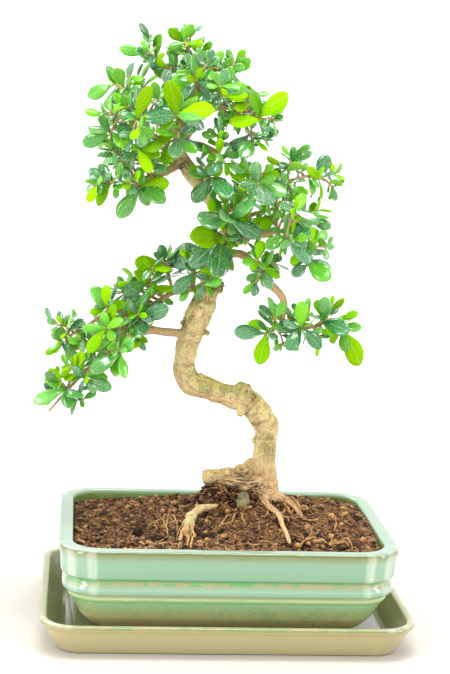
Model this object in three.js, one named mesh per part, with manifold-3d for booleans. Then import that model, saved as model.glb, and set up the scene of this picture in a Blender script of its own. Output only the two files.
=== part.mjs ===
// Fukien tea bonsai in a glazed ceramic pot that stands in its drip tray.
// Millimetres, +Z up. The origin is the centre of the tray's flat underside, +X is the long side of the
// pot and -Y is its front. Every leafy spray is one body: its twig with the blades sunk into it.

import * as THREE from 'three';
import { mergeVertices } from 'three/addons/utils/BufferGeometryUtils.js';
import Module from 'manifold-3d';

const wasm = await Module();
wasm.setup();

// Tray
const TRAY = { length: 242, depth: 180, height: 21.3, corner: 22, floor: 6 };

// Facets round a corner of the pot and the tray
const CORNER_STEPS = 3;

// Pot, whose sizes are those of its lip
const POT = { length: 220, depth: 164, top: 68, corner: 25, foot: 3.5, floor: 14.5 };
const POT_BASE = TRAY.floor + POT.foot;
const DRAIN = { x: 38, radius: 7.5 };
const FOOT = { inX: 42, inY: 38, radius: 7 };
const SCREEN = { size: 26, thick: 0.8, bar: 2 };

// Soil
// The soil rises in a broad mound, with a smaller heap under the stub beside the trunk.
const SOIL_EDGE = 61.5;
const SOIL_MOUNDS = [
  { x: 24, y: 24, height: 14, spreadX: 50, spreadY: 36 },
  { x: 8, y: 25, height: 8, spreadX: 17, spreadY: 15 },
];
const SOIL_MIDDLE = [14, 20];
const SOIL_LEVELS = 6;
const SOIL_PIECES = { long: 3, short: 2 };

// Clearance between pieces that touch
const GAP = 0.3;
const SEAT = 0.35;

// Spacing of the rings along the wood
const TRUNK_STEP = 10.5;
const LIMB_STEP = 14;
const ARCH_STEP = 9;

// Leaves
const BLADE_THICK = 1.1;
const FOOT_THICK = 0.8;
const BLADE_WIDTH = 0.52;
const BLADE_ARCH = 0.26;
const BLADE_CLEAR = 0.3;
const TRIES = 14;
const LEAF_PITCH = 1.5;
const TWIG_PIECES = 1;
const GOLDEN_ANGLE = 2.399963;

// Colours
const COLOURS = {
  tray: '#b3ab7c',
  pot: '#a5d6b4',
  screen: '#2c2c2a',
  soil: '#3d271a',
  bark: '#b69c6b',
  leaf: '#2f7a3a',
  pellet: '#a4592b',
  lump: '#2e1f16',
  stone: '#7d7c6c',
};

// Draws and vectors

// A number from 0 to 1 that depends only on the two whole numbers given.
function draw(seed, index) {
  let value = (Math.imul(seed + 1, 374761393) + Math.imul(index + 1, 668265263)) | 0;
  value = Math.imul(value ^ (value >>> 13), 1274126177);
  value ^= value >>> 16;
  return (value >>> 0) / 4294967296;
}

function vector(point) {
  return new THREE.Vector3(point[0], point[1], point[2]);
}

function mix(a, b, share) {
  return a + (b - a) * share;
}

// The part of a direction that is square to an axis, at unit length.
function squareTo(axis, direction) {
  const flat = direction.clone().addScaledVector(axis, -direction.dot(axis));
  if (flat.length() < 1e-3) {
    flat.set(axis.z, axis.x, axis.y);
    flat.addScaledVector(axis, -flat.dot(axis));
  }
  return flat.normalize();
}

// Geometry to solid and back

function solidOf(geometry) {
  const bare = new THREE.BufferGeometry();
  bare.setAttribute('position', geometry.getAttribute('position'));
  bare.setIndex(geometry.getIndex());
  const merged = mergeVertices(bare, 1e-4);
  const mesh = new wasm.Mesh({
    numProp: 3,
    vertProperties: new Float32Array(merged.getAttribute('position').array),
    triVerts: new Uint32Array(merged.getIndex().array),
  });
  return new wasm.Manifold(mesh);
}

function joined(solids) {
  return solids.reduce((whole, solid) => whole.add(solid));
}

function pieceOf(solid, name, colour, roughness) {
  const mesh = solid.getMesh();
  const geometry = new THREE.BufferGeometry();
  geometry.setAttribute('position', new THREE.BufferAttribute(new Float32Array(mesh.vertProperties), 3));
  geometry.setIndex(new THREE.BufferAttribute(new Uint32Array(mesh.triVerts), 1));
  geometry.computeVertexNormals();
  const material = new THREE.MeshStandardMaterial({ color: colour, roughness, metalness: 0 });
  const piece = new THREE.Mesh(geometry, material);
  piece.name = name;
  return piece;
}

// Skins a stack of rings that have equal counts of points, with a fan over each end.
function loft(rings) {
  const count = rings[0].length;
  const positions = [];
  for (const ring of rings) {
    for (const point of ring) positions.push(point.x, point.y, point.z);
  }
  const index = [];
  for (let row = 0; row < rings.length - 1; row += 1) {
    for (let i = 0; i < count; i += 1) {
      const a = row * count + i;
      const b = row * count + (i + 1) % count;
      index.push(a, b, b + count, a, b + count, a + count);
    }
  }
  const ends = [[0, -1], [rings.length - 1, 1]];
  for (const [row, side] of ends) {
    const centre = positions.length / 3;
    const middle = new THREE.Vector3();
    rings[row].forEach((point) => middle.addScaledVector(point, 1 / count));
    positions.push(middle.x, middle.y, middle.z);
    for (let i = 0; i < count; i += 1) {
      const a = row * count + i;
      const b = row * count + (i + 1) % count;
      if (side > 0) index.push(a, b, centre);
      else index.push(b, a, centre);
    }
  }
  const geometry = new THREE.BufferGeometry();
  geometry.setAttribute('position', new THREE.Float32BufferAttribute(positions, 3));
  geometry.setIndex(index);
  return geometry;
}

// Pot, tray and soil: stacks of rounded rectangles

function roundedRing(size, inset, z, steps) {
  const halfX = size.length / 2 - inset;
  const halfY = size.depth / 2 - inset;
  const radius = Math.max(size.corner - inset * 0.55, 8);
  const ring = [];
  const corners = [[1, 1], [-1, 1], [-1, -1], [1, -1]];
  corners.forEach(([sideX, sideY], quarter) => {
    for (let i = 0; i <= steps; i += 1) {
      const angle = (quarter + i / steps) * Math.PI / 2;
      const x = sideX * (halfX - radius) + radius * Math.cos(angle);
      const y = sideY * (halfY - radius) + radius * Math.sin(angle);
      ring.push(new THREE.Vector3(x, y, z));
    }
  });
  return ring;
}

// Pairs of inset and height, from the underside up the outside and down the inside.
const TRAY_PROFILE = [
  [12.5, 0], [11, 0.8], [2.2, 16.5], [0.2, 18.4], [0, 20.2], [0.9, 21.3],
  [4, 21.3], [5, 20.3], [6.2, 17.5], [13.5, 7.4], [16.5, 6],
];
const POT_PROFILE = [
  [27, POT_BASE], [21, 12.4], [14.5, 19.5], [9.3, 30], [6.2, 33.6], [6.6, 36], [3.4, 38], [2.5, 41],
  [3.2, 44], [4.4, 45.6], [4.2, 49], [1.7, 50.8], [1, 62.3], [0, 64], [0, 66.8], [1.2, 68],
  [8.2, 68], [9.4, 66.8], [9.8, 62], [11, 50], [13.5, 36], [18, 24], [25, 16.4], [32, POT.floor],
];
const SOIL_SIDE = [[10.1, SOIL_EDGE], [13.8, 36], [18.3, 24.2], [25.3, 16.8], [32.3, 14.9]];

function makeTray() {
  const rings = TRAY_PROFILE.map(([inset, z]) => roundedRing(TRAY, inset, z, CORNER_STEPS));
  return pieceOf(solidOf(loft(rings)), 'drip_tray', COLOURS.tray, 0.3);
}

function standing(radius, low, high, x, y, sides) {
  const rod = new THREE.CylinderGeometry(radius, radius, high - low, sides);
  rod.rotateX(Math.PI / 2);
  rod.translate(x, y, (low + high) / 2);
  return solidOf(rod);
}

function block(x, y, z, sizeX, sizeY, sizeZ) {
  const box = new THREE.BoxGeometry(sizeX, sizeY, sizeZ);
  box.translate(x, y, z);
  return solidOf(box);
}

function makePot() {
  const rings = POT_PROFILE.map(([inset, z]) => roundedRing(POT, inset, z, CORNER_STEPS));
  let body = solidOf(loft(rings));
  for (const side of [-1, 1]) {
    body = body.subtract(standing(DRAIN.radius, POT_BASE - 1, POT.floor + 1, side * DRAIN.x, 0, 12));
  }
  for (const [sideX, sideY] of [[1, 1], [-1, 1], [-1, -1], [1, -1]]) {
    const footX = sideX * (POT.length / 2 - FOOT.inX);
    const footY = sideY * (POT.depth / 2 - FOOT.inY);
    body = body.add(standing(FOOT.radius, TRAY.floor, POT_BASE + 1, footX, footY, 6));
  }
  return pieceOf(body, 'pot', COLOURS.pot, 0.2);
}

function makeScreen(side) {
  const z = POT.floor + SCREEN.thick / 2;
  let plate = block(side * DRAIN.x, 0, z, SCREEN.size, SCREEN.size, SCREEN.thick);
  const pitch = (SCREEN.size - SCREEN.bar) / 2;
  for (const column of [-0.5, 0.5]) {
    for (const row of [-0.5, 0.5]) {
      const x = side * DRAIN.x + column * pitch;
      plate = plate.subtract(block(x, row * pitch, z, pitch - SCREEN.bar, pitch - SCREEN.bar, 4));
    }
  }
  return pieceOf(plate, side < 0 ? 'drain_screen_left' : 'drain_screen_right', COLOURS.screen, 0.8);
}

// Height of the soil: the mounds, with small crumbs.
function soilHeight(x, y) {
  const crumbs = 0.8 * Math.sin(x * 0.31 + 1.3 * Math.sin(y * 0.23)) * Math.cos(y * 0.37 + x * 0.09);
  return SOIL_MOUNDS.reduce((height, mound) => {
    const awayX = (x - mound.x) / mound.spreadX;
    const awayY = (y - mound.y) / mound.spreadY;
    return height + mound.height * Math.exp(-(awayX * awayX + awayY * awayY) / 2);
  }, SOIL_EDGE + crumbs);
}

// The soil's rings have points along their straight sides too, so that the mounds show there.
function soilRing(inset, z) {
  const bends = roundedRing(POT, inset, z, CORNER_STEPS);
  return bends.flatMap((point, i) => {
    if ((i + 1) % (CORNER_STEPS + 1) !== 0) return [point];
    const next = bends[(i + 1) % bends.length];
    const isLong = Math.abs(point.x - next.x) > Math.abs(point.y - next.y);
    const pieces = isLong ? SOIL_PIECES.long : SOIL_PIECES.short;
    return Array.from({ length: pieces }, (_, step) => point.clone().lerp(next, step / pieces));
  });
}

function makeSoil(cutters) {
  const rings = [...SOIL_SIDE].reverse().map(([inset, z]) => soilRing(inset, z));
  const rim = rings[rings.length - 1];
  for (let level = 1; level <= SOIL_LEVELS; level += 1) {
    const share = 1 - level / (SOIL_LEVELS + 0.6);
    rings.push(rim.map((point) => {
      const x = mix(SOIL_MIDDLE[0], point.x, share);
      const y = mix(SOIL_MIDDLE[1], point.y, share);
      return new THREE.Vector3(x, y, soilHeight(x, y));
    }));
  }
  let soil = solidOf(loft(rings));
  for (const cutter of cutters) soil = soil.subtract(cutter);
  return pieceOf(soil, 'soil', COLOURS.soil, 1);
}

// Tree: limbs are rings along smooth paths

// A path runs through points of x, y, z and radius.
function pathOf(points) {
  const curve = new THREE.CatmullRomCurve3(points.map(vector), false, 'catmullrom', 0.5);
  const last = points.length - 1;
  const radiusAt = (t) => {
    const place = Math.min(t * last, last - 1e-9);
    const lower = Math.floor(place);
    return mix(points[lower][3], points[lower + 1][3], place - lower);
  };
  return { curve, radiusAt, last };
}

// Rings round a line of centres, each square to the line there, with lengthwise flutes on the bark.
function tube(line, radii, sides, grow = 0, relief = 0) {
  const rings = [];
  let side = new THREE.Vector3(0.3, 0.2, 1);
  line.forEach((centre, row) => {
    const next = line[Math.min(row + 1, line.length - 1)];
    const along = next.clone().sub(line[Math.max(row - 1, 0)]).normalize();
    side = squareTo(along, side);
    const other = new THREE.Vector3().crossVectors(along, side);
    const ring = [];
    for (let i = 0; i < sides; i += 1) {
      const angle = i / sides * 2 * Math.PI;
      const flute = Math.sin(3 * angle + row * 0.5) + 0.6 * Math.sin(row * 1.9 + angle);
      const reach = radii[row] * (1 + relief * flute) + grow;
      const point = centre.clone().addScaledVector(side, Math.cos(angle) * reach);
      ring.push(point.addScaledVector(other, Math.sin(angle) * reach));
    }
    rings.push(ring);
  });
  return solidOf(loft(rings));
}

function limb(points, sides, step, grow = 0, relief = 0) {
  const path = pathOf(points);
  const count = Math.max(Math.round(path.curve.getLength() / step), 1);
  const line = [];
  const radii = [];
  for (let row = 0; row <= count; row += 1) {
    const t = path.curve.getUtoTmapping(row / count);
    line.push(path.curve.getPoint(t));
    radii.push(path.radiusAt(t));
  }
  return tube(line, radii, sides, grow, relief);
}

function lump(x, y, z, sizeX, sizeY, sizeZ, detail, grow = 0) {
  const ball = new THREE.IcosahedronGeometry(1, detail);
  ball.scale(sizeX + grow, sizeY + grow, sizeZ + grow);
  ball.rotateZ(x * 0.7 + y);
  ball.translate(x, y, z);
  return solidOf(ball);
}

const LIMBS = {
  trunk: [
    [32, 25, 58, 13], [32, 25, 70, 13.5], [31, 25, 81, 10.5], [30, 25, 93, 8.6], [29, 24, 105, 7.9],
    [29, 23, 118, 8], [29, 22, 128, 8.9], [24, 21, 137, 9.2], [16, 20, 145, 8.8], [7, 19, 148, 8.2],
    [-3, 18, 151, 7.3], [-14, 17, 155, 7.9], [-23, 16, 158, 8.3], [-28, 15, 164, 8.2], [-29, 14, 173, 7.4],
    [-28, 13, 184, 7.6], [-25, 12, 193, 8], [-22, 11, 203, 8.9], [-18, 11, 213, 8.9], [-16, 11, 222, 7.2],
    [-14, 11, 232, 4.3], [-9, 11, 242, 4], [-4, 11, 253, 3.9], [-3, 11, 261, 4], [-6, 10, 271, 4.1],
    [-14, 9, 280, 4.3], [-22, 8, 291, 5], [-31, 7, 302, 5.3], [-37, 6, 311, 4.8], [-38, 5, 319, 4],
    [-33, 5, 327, 3.5], [-27, 4, 337, 3.1], [-26, 4, 348, 2.7], [-29, 4, 361, 2.1], [-32.5, 4, 372, 1.6],
    [-33.5, 4, 375, 1.3],
  ],
  stub: [[30, 25, 92, 7], [21, 24, 88.5, 8], [11, 23, 88.5, 6.4], [0, 22, 91, 5.4], [-13.5, 21, 92, 5.4]],
  crown_right: [[-27, 4, 336, 2.4], [-14, -2, 344, 2], [0, -8, 343, 1.4]],
  crown_left: [[-26, 4, 347, 2.5], [-45, -4, 351, 2.1], [-64, -9, 347, 1.7], [-74, -12, 340, 1.3]],
  crown_front: [[-30, 5, 332, 2.3], [-36, -12, 338, 2], [-48, -26, 337, 1.6], [-57, -33, 336, 1.3]],
  crown_low: [
    [-36, 6, 309, 3.2], [-45, 2, 302, 2.8], [-56, -4, 298, 2.3], [-64, -10, 293, 1.7], [-72, -13, 290, 1.4],
  ],
  crown_inner: [[-38, 5, 320, 2.4], [-26, -3, 320, 1.9], [-15, -8, 316, 1.4]],
  crown_back: [[-26, 4, 340, 2.3], [-34, 20, 345, 1.8], [-40, 32, 344, 1.3]],
  crown_back_right: [[-26, 4, 345, 2.2], [-16, 16, 348, 1.8], [-8, 26, 345, 1.3]],
  crown_back_left: [[-35, 5, 325, 2.3], [-48, 18, 330, 1.8], [-60, 28, 334, 1.3]],
  middle_high: [[-5, 10, 267, 2.7], [6, 4, 281, 2.3], [20, -3, 291, 1.8], [36, -4, 299, 1.3]],
  middle_low: [[-4, 11, 254, 2.6], [10, 4, 260, 2.2], [24, -6, 264, 1.7], [38, -8, 268, 1.3]],
  middle_back: [[-5, 11, 261, 2.4], [4, 22, 268, 2], [16, 30, 273, 1.6], [28, 33, 276, 1.3]],
  right_arch: [
    [-8, 11, 243, 3.2], [-2, 10, 247, 3], [4, 8, 248, 2.9], [9, 5, 246, 2.8], [13, 2, 242, 2.7],
    [18, -2, 236, 2.7], [24, -5, 230, 2.7], [31, -8, 224, 2.7], [34, -10, 217, 2.4], [33, -10, 208, 2.1],
    [36, -10, 200, 1.9], [45, -9, 201, 1.6], [57, -6, 203, 1.3],
  ],
  left_low: [
    [-24, 12, 192, 4.6], [-34, 11, 193, 3.2], [-45, 8, 194, 2.9], [-53, 5, 195, 2.7], [-70, 0, 191, 2.3],
    [-86, -6, 178, 1.9], [-104, -10, 160, 1.4], [-119, -12, 142, 0.9],
  ],
  left_rise: [[-51, 6, 195, 2.4], [-64, 8, 203, 2.1], [-80, 7, 207, 1.7], [-98, 3, 195, 1.3]],
  left_high: [
    [-17, 11, 224, 2.8], [-27, 16, 222, 2.4], [-38, 20, 219, 2.1], [-47, 22, 213, 1.7], [-55, 24, 208, 1.3],
  ],
  root_claw: [
    [24, 18, 64, 6], [2, -6, 56, 4], [-18, -30, 56, 3], [-28, -38, 61, 2.4], [-27, -28, 68.5, 2.4],
    [-23, -14, 72.5, 2.6], [-17, -5, 75.5, 2.8], [-10, -2, 76.5, 2.3], [-4, 0, 77.5, 2],
  ],
  root_front: [
    [28, 16, 78, 4], [31, 3, 77, 2.2], [37, -6, 73.5, 1.9], [38, -20, 70.5, 1.7], [40, -38, 66.5, 1.5],
    [41, -50, 59, 1.2],
  ],
  root_right: [[36, 24, 79, 5], [46, 15, 77.5, 2.6], [52, 5, 73, 1.9], [55, -6, 66, 1.4]],
  root_deep_left: [[24, 27, 66, 7], [0, 34, 54, 5], [-30, 38, 44, 3.5], [-58, 26, 34, 2]],
  root_deep_right: [[38, 24, 66, 7], [60, 10, 52, 4.6], [78, -10, 42, 2]],
};

const ROOT_NAMES = Object.keys(LIMBS).filter((name) => name.startsWith('root_'));

// Short swellings of the bark: the elbow's knob, pruned branch scars and the collar over the second bend.
const KNOBS = [
  [12, 18, 151, 8.5, 8.5, 8.5],
  [32, 20, 130, 5.5, 6, 7],
  [-14, 11, 223, 7.5, 7.5, 4.5],
];

function limbSolid(name, grow = 0) {
  const points = LIMBS[name];
  if (name === 'trunk') return limb(points, 8, TRUNK_STEP, grow, 0.045);
  if (name === 'stub') return limb(points, 6, LIMB_STEP, grow, 0.05);
  return limb(points, 4, name === 'right_arch' ? ARCH_STEP : LIMB_STEP, grow);
}

function makeWood() {
  const parts = Object.keys(LIMBS).map((name) => limbSolid(name));
  for (const [x, y, z, sizeX, sizeY, sizeZ] of KNOBS) parts.push(lump(x, y, z, sizeX, sizeY, sizeZ, 0));
  return pieceOf(joined(parts), 'tree_wood', COLOURS.bark, 0.85);
}

// Hulls: a few points with three axes stand for a blade or a stretch of limb in the clearance test.
// Two hulls are apart where one of the axes, or a cross product of two, shows a gap between them.

function spread(points, axis) {
  let low = Infinity;
  let high = -Infinity;
  for (const point of points) {
    const reach = point.dot(axis);
    low = Math.min(low, reach);
    high = Math.max(high, reach);
  }
  return [low, high];
}

function apart(a, b) {
  if (a.centre.distanceTo(b.centre) > a.reach + b.reach + BLADE_CLEAR) return true;
  const axes = [...a.axes, ...b.axes];
  for (const first of a.axes) {
    for (const second of b.axes) {
      const cross = new THREE.Vector3().crossVectors(first, second);
      if (cross.length() > 0.05) axes.push(cross.normalize());
    }
  }
  for (const axis of axes) {
    const [lowA, highA] = spread(a.points, axis);
    const [lowB, highB] = spread(b.points, axis);
    if (lowB - highA > BLADE_CLEAR || lowA - highB > BLADE_CLEAR) return true;
  }
  return false;
}

function hullOf(points, axes) {
  const centre = new THREE.Vector3();
  points.forEach((point) => centre.addScaledVector(point, 1 / points.length));
  const reach = Math.max(...points.map((point) => point.distanceTo(centre)));
  return { points, axes, centre, reach };
}

// A line of points along a path, with the same count of steps between each two of its points.
function lineOf(points, pieces) {
  const path = pathOf(points);
  const count = pieces * path.last;
  const line = [];
  const radii = [];
  for (let i = 0; i <= count; i += 1) {
    line.push(path.curve.getPoint(i / count));
    radii.push(path.radiusAt(i / count));
  }
  return { line, radii };
}

// Hulls of the straight stretches of a limb or twig.
function stretchHulls({ line, radii }) {
  const hulls = [];
  for (let i = 0; i < line.length - 1; i += 1) {
    const along = line[i + 1].clone().sub(line[i]).normalize();
    const side = squareTo(along, new THREE.Vector3(0.3, 0.2, 1));
    const other = new THREE.Vector3().crossVectors(along, side);
    const corners = [];
    for (const place of [i, i + 1]) {
      const reach = radii[place] * 0.95 + 0.2;
      for (const [u, v] of [[1, 1], [-1, 1], [-1, -1], [1, -1]]) {
        corners.push(line[place].clone().addScaledVector(side, u * reach).addScaledVector(other, v * reach));
      }
    }
    hulls.push(hullOf(corners, [along, side, other]));
  }
  return hulls;
}

// Leaf blades

// A blade is a base, a direction, an upper side and a length. It arches from its foot to its tip.
function bladePoint(blade, along, across) {
  const arch = blade.length * BLADE_ARCH * along * (1 - along);
  const point = blade.base.clone();
  point.addScaledVector(blade.direction, blade.length * along);
  point.addScaledVector(blade.side, across);
  point.addScaledVector(blade.upper, arch);
  return point;
}

// Share of the half width at a share of the length: narrow foot, broad shoulder, blunt tip.
const WIDE = [0.62, 1];
const SHOULDER = [0.92, 0.66];

// The blade is thickest along its midrib and thins out to its cut edge.
function bladeSolid(blade) {
  const half = blade.length * BLADE_WIDTH / 2;
  const places = [
    [0, 0, FOOT_THICK / 2], [0, 0, -FOOT_THICK / 2],
    [WIDE[0], 0, BLADE_THICK / 2], [WIDE[0], 0, -BLADE_THICK / 2],
    [WIDE[0], half * WIDE[1], 0], [SHOULDER[0], half * SHOULDER[1], 0], [1, 0, 0],
    [SHOULDER[0], -half * SHOULDER[1], 0], [WIDE[0], -half * WIDE[1], 0],
  ];
  const positions = [];
  for (const [along, across, over] of places) {
    const point = bladePoint(blade, along, across).addScaledVector(blade.upper, over);
    positions.push(point.x, point.y, point.z);
  }
  const index = [0, 4, 1, 1, 8, 0, 0, 2, 4, 0, 8, 2, 1, 4, 3, 1, 3, 8];
  for (let edge = 4; edge < 8; edge += 1) {
    index.push(2, edge + 1, edge);
    index.push(3, edge, edge + 1);
  }
  const geometry = new THREE.BufferGeometry();
  geometry.setAttribute('position', new THREE.Float32BufferAttribute(positions, 3));
  geometry.setIndex(index);
  return solidOf(geometry);
}

function bladeHull(blade, from) {
  const half = blade.length * BLADE_WIDTH / 2;
  const wide = half * WIDE[1];
  const shoulder = half * SHOULDER[1];
  const places = [
    [from, half * 0.2], [from, -half * 0.2], [WIDE[0], wide], [WIDE[0], -wide],
    [SHOULDER[0], shoulder], [SHOULDER[0], -shoulder], [1, 0], [WIDE[0], 0],
  ];
  const points = [];
  for (const [along, across] of places) {
    const point = bladePoint(blade, along, across);
    for (const side of [-0.5, 0.5]) {
      points.push(point.clone().addScaledVector(blade.upper, side * BLADE_THICK));
    }
  }
  return hullOf(points, [blade.direction, blade.side, blade.upper]);
}

function bladeOf(base, direction, facing, length) {
  const upper = squareTo(direction, facing);
  const side = new THREE.Vector3().crossVectors(upper, direction);
  return { base, direction, upper, side, length };
}

// Sprays

// A tuft is a place on a twig, how many leaves stand there, and the tips of the leaves that are known
// there, measured from the tuft. The other leaves open round the twig by the golden angle.
function tuft(x, y, z, count, ...tips) {
  return { place: [x, y, z], count, tips };
}

// A spray leaves its limb at a share of the limb's path and runs on through its tufts.
const SPRAYS = [
  ['crown_top', 'trunk', 0.985, [tuft(-39, 2, 386, 7, [7, -8, 10], [-10, -5, 7], [14, -5, -2])]],
  ['crown_top_left', 'trunk', 0.95, [
    tuft(-48, -3, 368, 5),
    tuft(-62, 0, 376, 6, [-18, -4, 3], [-14, -7, -1]),
  ]],
  ['crown_top_right', 'trunk', 0.94, [tuft(-20, -10, 369, 6), tuft(-5, -2, 366, 7)]],
  ['crown_young', 'trunk', 0.92, [tuft(-31, -25, 361, 7, [3, -6, 8], [-7, -6, 1], [12, -8, -4])]],
  ['crown_right_high', 'crown_right', 0.45, [tuft(-15, -24, 354, 7, [12, -8, 3])]],
  ['crown_right_end', 'crown_right', 0.98, [
    tuft(13, -13, 337, 7, [-22, -8, -2], [-11, -8, 20], [6, 2, 19]),
  ]],
  ['crown_right_low', 'crown_right', 0.7, [tuft(9, -12, 323, 6, [-12, -7, -2], [0, -7, -9], [6, -9, 3])]],
  ['crown_left_high', 'crown_left', 0.7, [tuft(-83, -6, 356, 7, [-16, -2, -9], [-5, -5, 12])]],
  ['crown_left_end', 'crown_left', 0.98, [tuft(-85, -20, 324, 7, [-17, -6, -6], [-8, -10, 12])]],
  ['crown_front_left', 'crown_front', 0.98, [
    tuft(-69, -39, 335, 7, [9, -7, 22], [24, -5, 4], [14, -8, -11]),
  ]],
  ['crown_front_mid', 'crown_front', 0.6, [
    tuft(-43, -43, 339, 7, [-7, -7, 22], [23, -7, 4], [-3, -7, -12]),
  ]],
  ['crown_front_low', 'crown_front', 0.42, [tuft(-42, -28, 322, 6, [13, -8, -6], [-9, -8, -12])]],
  ['crown_low_front', 'crown_low', 0.55, [tuft(-67, -31, 317, 6, [9, -7, -15], [-13, -8, 2], [16, -6, 3])]],
  ['crown_low_tip', 'crown_low', 0.96, [tuft(-84, -18, 294, 7, [-14, -6, -6])]],
  ['crown_low_droop', 'crown_low', 0.8, [tuft(-64, -22, 291, 5, [-14, -5, -19], [-1, -7, -13])]],
  ['crown_low_back', 'crown_low', 0.7, [tuft(-80, 18, 312, 6)]],
  ['crown_inner_end', 'crown_inner', 0.98, [
    tuft(-10, -17, 309, 7, [14, -7, -5], [-9, -6, -11], [3, -8, 11]),
  ]],
  ['crown_back_high', 'trunk', 0.93, [tuft(-30, 25, 365, 6), tuft(-47, 33, 360, 6)]],
  ['crown_back_left_end', 'crown_back_left', 0.97, [tuft(-72, 38, 339, 7)]],
  ['crown_back_end', 'crown_back', 0.97, [tuft(-40, 47, 341, 7)]],
  ['crown_back_right_end', 'crown_back_right', 0.97, [tuft(0, 36, 341, 7)]],
  ['crown_back_low', 'crown_back_left', 0.5, [tuft(-46, 36, 312, 7)]],
  ['stem_front', 'trunk', 0.745, [tuft(-18, -15, 299, 6, [-12, -6, -16], [0, -7, -16], [-15, -7, 5])]],
  ['middle_near', 'trunk', 0.69, [
    tuft(-5, -20, 272, 7, [20, -6, -9], [-15, -6, 0], [-14, -5, 6], [19, -6, 9], [0, -5, 12]),
  ]],
  ['middle_collar', 'trunk', 0.66, [
    tuft(-10, -8, 258, 6, [-16, -5, 7], [-17, -6, -2], [-20, -4, -18], [-3, -7, -16]),
  ]],
  ['middle_front', 'middle_high', 0.5, [
    tuft(11, -27, 297, 7, [-13, -7, -1], [11, -7, 4], [16, -6, -3], [3, -8, -10]),
  ]],
  ['middle_top', 'middle_high', 0.85, [
    tuft(36, 0, 311, 7, [0, -7, 10], [8, -3, 13], [-10, -7, -3], [-6, -8, -11]),
  ]],
  ['middle_tip', 'middle_high', 0.98, [tuft(56, -2, 300, 6, [-12, -8, 7], [-8, -9, -9], [8, -3, 3])]],
  ['middle_low_front', 'middle_low', 0.72, [
    tuft(31, -27, 264, 6, [13, -7, -5], [-14, -7, -8], [16, -5, -17]),
    tuft(34, -31, 281, 5, [17, -7, -7], [-10, -7, 4]),
  ]],
  ['middle_low_hang', 'right_arch', 0.34, [tuft(19, -12, 240, 5, [4, -7, -12], [-9, -5, -9])]],
  ['middle_low_end', 'middle_low', 0.98, [tuft(48, -10, 244, 6, [-11, -7, -7], [8, -7, -11], [15, -5, -2])]],
  ['middle_low_tip', 'middle_low', 0.9, [tuft(50, 4, 272, 6, [14, -6, -4])]],
  ['middle_back_high', 'middle_back', 0.4, [tuft(9, 34, 292, 7)]],
  ['middle_back_low', 'middle_back', 0.55, [tuft(19, 38, 254, 7)]],
  ['middle_back_end', 'middle_back', 0.97, [tuft(43, 32, 284, 7)]],
  ['right_near', 'right_arch', 0.83, [tuft(21, -14, 198, 6, [-21, -5, 1], [-11, -7, -14], [9, -8, -4])]],
  ['right_mid', 'right_arch', 0.93, [tuft(44, -16, 203, 6, [0, -8, 19], [14, -8, -13], [-6, -7, -14])]],
  ['right_end', 'right_arch', 0.99, [
    tuft(62, -6, 206, 6, [-2, -8, 18], [11, -8, 2]),
    tuft(74, -4, 200, 5, [3, -6, -14], [10, -4, -22], [13, -5, 3]),
  ]],
  ['left_high_end', 'left_high', 0.97, [tuft(-55, 10, 227, 7, [-18, -7, -8], [-9, -8, 9])]],
  ['left_high_top', 'left_high', 0.5, [tuft(-45, 18, 238, 7, [-3, -5, 14], [17, -4, 14], [-19, -5, 3])]],
  ['left_near', 'left_high', 0.2, [tuft(-25, -4, 236, 4, [-15, -6, -14], [7, -8, -6])]],
  ['left_rise_mid', 'left_rise', 0.5, [tuft(-62, -8, 204, 7, [20, -6, 10], [9, -8, -9], [-6, -8, 9])]],
  ['left_rise_top', 'left_rise', 0.6, [tuft(-83, 1, 211, 7, [0, -4, 15], [16, -8, 5], [-11, -7, -4])]],
  ['left_rise_end', 'left_rise', 0.98, [tuft(-112, 0, 184, 6)]],
  ['left_low_front', 'left_low', 0.55, [tuft(-84, -19, 199, 6, [-11, -8, -15], [12, -8, 8])]],
  ['left_low_mid', 'left_low', 0.66, [tuft(-73, -24, 184, 6, [-20, -8, -12], [3, -9, -15], [13, -8, 4])]],
  ['left_low_end', 'left_low', 0.8, [tuft(-96, -24, 166, 6, [18, -7, -4], [-9, -8, 10])]],
  ['left_low_tip', 'left_low', 0.88, [tuft(-108, -18, 158, 6, [-21, -2, -9], [3, -7, -14], [14, -8, 5])]],
  ['left_back', 'left_high', 0.75, [tuft(-70, 32, 217, 6), tuft(-62, 40, 203, 5)]],
  ['left_low_back', 'left_low', 0.5, [tuft(-79, 24, 188, 6), tuft(-96, 18, 180, 5)]],
];

// The twig's path: out of the limb's axis and through the tufts.
function twigPoints(limbName, share, tufts) {
  const start = pathOf(LIMBS[limbName]).curve.getPoint(share);
  const points = [[start.x, start.y, start.z, 1.1]];
  tufts.forEach((item, i) => points.push([...item.place, 1.05 - 0.2 * (i + 1) / tufts.length]));
  const first = vector(points[1]);
  const middle = start.clone().lerp(first, 0.5);
  middle.z += start.distanceTo(first) * 0.12;
  points.splice(1, 0, [middle.x, middle.y, middle.z, 1.05]);
  return points;
}

// A leaf that the golden angle places: it opens from the twig's direction and lifts a little.
function ruledLeaf(twigWay, number, seed) {
  const side = squareTo(twigWay, new THREE.Vector3(0.2, 0.1, 1));
  const other = new THREE.Vector3().crossVectors(twigWay, side);
  const turn = number * GOLDEN_ANGLE + (draw(seed, 1) - 0.5) * 2.4;
  const open = number === 0 ? mix(0.2, 0.7, draw(seed, 2)) : mix(0.85, 1.55, draw(seed, 2));
  const direction = twigWay.clone().multiplyScalar(Math.cos(open));
  direction.addScaledVector(side, Math.sin(open) * Math.cos(turn));
  direction.addScaledVector(other, Math.sin(open) * Math.sin(turn));
  direction.z += 0.12;
  direction.normalize();
  return { direction, length: number === 0 ? mix(10, 14, draw(seed, 3)) : mix(13, 20, draw(seed, 3)) };
}

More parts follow.
